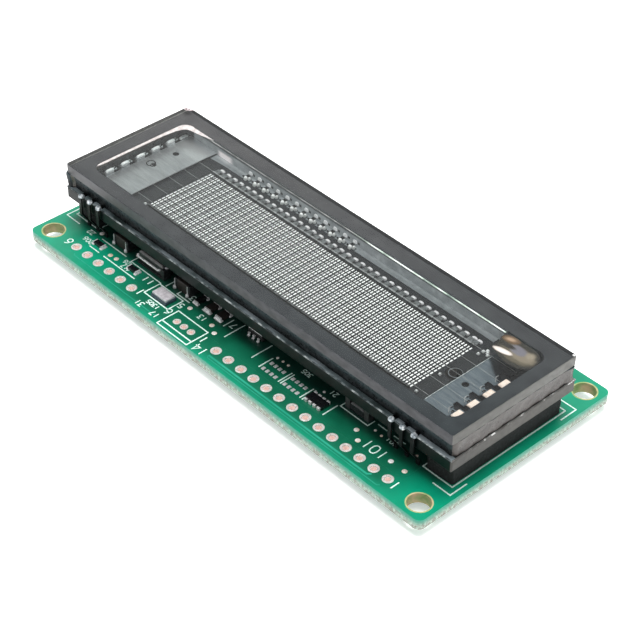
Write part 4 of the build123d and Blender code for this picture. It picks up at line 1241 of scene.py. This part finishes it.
# %% Outlines
legend = Shape()
corner_x, corner_y, corner_arm = 39.2, 11.8, 3.0
for side, end in (("left", -1), ("right", 1)):
    low, high = span(f"foam_pad_{side}")
    add_ink(rounded((low.x - 0.25, low.y - 0.27), (high.x + 0.25, high.y + 0.67), 0.01, 1), loop=True)
    edge = corner_x * end
    for y in (-corner_y, corner_y):
        arm = y - math.copysign(corner_arm, y)
        add_ink([(edge, arm), (edge, y), (edge - corner_arm * end, y)])
outlines = (
    [(-10.95, -17.7), (-10.95, -13.85), (-4.65, -13.85), (-4.65, -17.7)],
    [(-17.35, -14.8), (-17.35, -12.0), (-12.2, -12.0), (-12.2, -14.8)],
)
for corners in outlines:
    add_ink(corners, loop=True)
lines = (
    [(-10.95, -16.8), (-4.65, -16.8)],
    [(-31.1, -11.6), (-25.4, -11.6)], [(-31.0, -13.95), (-28.8, -13.95)], [(-27.7, -13.95), (-20.6, -13.95)],
    [(-24.1, -9.0), (-24.1, -11.8), (-17.3, -11.8)],
    [(-19.6, -12.2), (-19.6, -13.3)], [(-18.5, -12.2), (-18.5, -13.3)], [(-16.4, -9.6), (-16.4, -11.7)],
    [(-14.0, -10.4), (-14.0, -11.6), (-11.3, -11.6)],
    [(-9.0, -9.2), (-9.0, -11.3)], [(-6.8, -9.2), (-6.8, -10.4)], [(-4.35, -9.4), (-4.35, -11.4)],
    [(-2.5, -9.0), (-2.5, -12.8)], [(3.2, -9.1), (3.2, -12.9)], [(5.25, -10.8), (5.25, -13.4)],
    [(9.2, -10.9), (9.2, -13.5)], [(9.65, -10.9), (9.65, -13.5)], [(13.45, -10.9), (13.45, -13.5)],
    [(13.9, -10.9), (13.9, -13.5)], [(17.9, -10.8), (17.9, -13.5)],
    [(18.2, -9.3), (18.2, -10.6), (23.3, -10.6), (23.3, -9.3)],
    [(24.0, -9.4), (25.7, -9.4)], [(26.9, -9.4), (29.0, -9.4)],
    [(-3.95, -14.6), (-3.95, -15.9)], [(-17.8, -14.5), (-17.8, -15.8)],
)
for points in lines:
    add_ink(points)

# %% Numbers
numbers = (
    ("1", 33.4, -15.65, 1.5), ("14", -2.7, -16.95, 1.45), ("6", -33.8, -15.55, 1.3),
    ("101", 27.1, -13.0, 1.6), ("201", 27.6, -10.35, 1.0), ("21", 15.9, -9.6, 1.0), ("305", 10.6, -9.5, 0.9),
    ("13", -7.6, -12.4, 1.1), ("31", -15.9, -16.8, 1.15), ("17", -12.6, -16.8, 1.15),
    ("1305", -14.4, -15.6, 0.9), ("22", -33.4, -11.8, 1.0), ("206", -32.1, -13.3, 1.0),
    ("26", -24.3, -12.4, 0.9), ("417", -23.4, -13.25, 0.9), ("3", -11.8, -10.6, 1.2),
    ("5", -11.6, -12.9, 1.2), ("6", -11.8, -15.0, 1.2), ("7", -3.4, -10.3, 1.3),
)
for text, x, y, height in numbers:
    shrink = 1.0 if text in ("1", "14", "6", "101") else 0.8
    add_number(text, x, y, height * shrink, 0.12 * height ** 0.5 + 0.02)
make("white_legend", legend, [ink])

# %% [markdown]
# ## Floor, light and camera
#
# The part stands on a plain pale floor under soft studio light. The sky is white to the camera, to glossy
# rays and to rays that pass through glass, and dimmer as a lamp, so the colours render about as written.
# The camera looks from the side of the connector row, from above and to the right, through a long lens.


# %% Floor
def seen_ray(tree):
    """1 for a ray that shows the background: straight to the camera, off a gloss or through glass."""
    seen = node(tree, "LightPath", output="Is Camera Ray")
    for kind in ("Is Glossy Ray", "Is Transmission Ray"):
        other = node(tree, "LightPath", output=kind)
        seen = maths(tree, "MAXIMUM", seen, other)
    return seen


paper = coat("matt studio paper", 60.0, {0.3: "#F7F7F7", 0.7: "#FAFAFA"}, Roughness=0.95, IOR=1.3,
             Emission_Color=(1, 1, 1, 1))
tree = paper.node_tree
feed(paper, Emission_Strength=maths(tree, "MULTIPLY", seen_ray(tree), 0.42))
reach = 3.0
floor_corners = [(-reach, -reach), (reach, -reach), (reach, reach), (-reach, reach)]
sheet = bpy.data.meshes.new("studio_floor")
sheet.from_pydata(at_level(floor_corners, -0.0001), [], [(0, 1, 2, 3)])
sheet.materials.append(paper)
studio_floor = bpy.data.objects.new("studio_floor", sheet)
bpy.context.scene.collection.objects.link(studio_floor)

# %% Sky
world = bpy.data.worlds.new("white studio")
world.use_nodes = True
bpy.context.scene.world = world
tree = world.node_tree
ahead = node(tree, "TexCoord", output="Generated")
ceiling = scaled(tree, part(tree, "Z", ahead), 0.4, 0.8, 1.0, 0.45)
side = node(tree, "VectorMath", {0: ahead, 1: (0.4, 0.75, 0.53)}, output="Value", operation="DOT_PRODUCT")
glow = scaled(tree, side, -1.0, 1.0, 0.3, 0.88)
shown = maths(tree, "MAXIMUM", ceiling, node(tree, "LightPath", output="Is Camera Ray"))
strength = node(tree, "Mix", {"Factor": seen_ray(tree), "A": glow, "B": shown}, data_type="FLOAT")
sky = tree.nodes["Background"]
sky.inputs["Color"].default_value = (1, 1, 1, 1)
tree.links.new(strength, sky.inputs["Strength"])
bpy.context.scene.view_settings.view_transform = "Standard"

# %% Key lamp
middle = (board_low + front_high) / 2
lamp_at = Vector((-40, 70, 440))
lamp = bpy.data.lights.new("key", "AREA")
lamp.shape = "RECTANGLE"
lamp.size = 260 * MM
lamp.size_y = 260 * MM
lamp.energy = 2.5
holder = bpy.data.objects.new("key", lamp)
bpy.context.scene.collection.objects.link(holder)
holder.location = lamp_at * MM
holder.visible_glossy = False
holder.visible_transmission = False
holder.rotation_mode = "QUATERNION"
holder.rotation_quaternion = (middle - lamp_at).to_track_quat("-Z", "Y")
print("key lamp", round((middle - lamp_at).length), "mm away")

# %% Camera
azimuth = math.radians(46.37)
elevation = math.radians(39.36)
roll = math.radians(1.248)
away = 253.4
target = Vector((3.46, -0.57, board_top))
back = Vector((math.sin(azimuth) * math.cos(elevation), -math.cos(azimuth) * math.cos(elevation),
               math.sin(elevation)))
right = Vector((0, 0, 1)).cross(back).normalized()
up = back.cross(right)
lens = bpy.data.cameras.new("camera")
lens.sensor_width = 36.0
lens.lens = 103.57
lens.clip_start = 0.01
camera = bpy.data.objects.new("camera", lens)
bpy.context.scene.collection.objects.link(camera)
turned_right = right * math.cos(roll) + up * math.sin(roll)
turned_up = up * math.cos(roll) - right * math.sin(roll)
pose = Matrix((turned_right, turned_up, back)).transposed().to_4x4()
pose.translation = (target + back * away) * MM
camera.matrix_world = pose
bpy.context.scene.camera = camera
print("camera at", (target + back * away)[:], "mm")
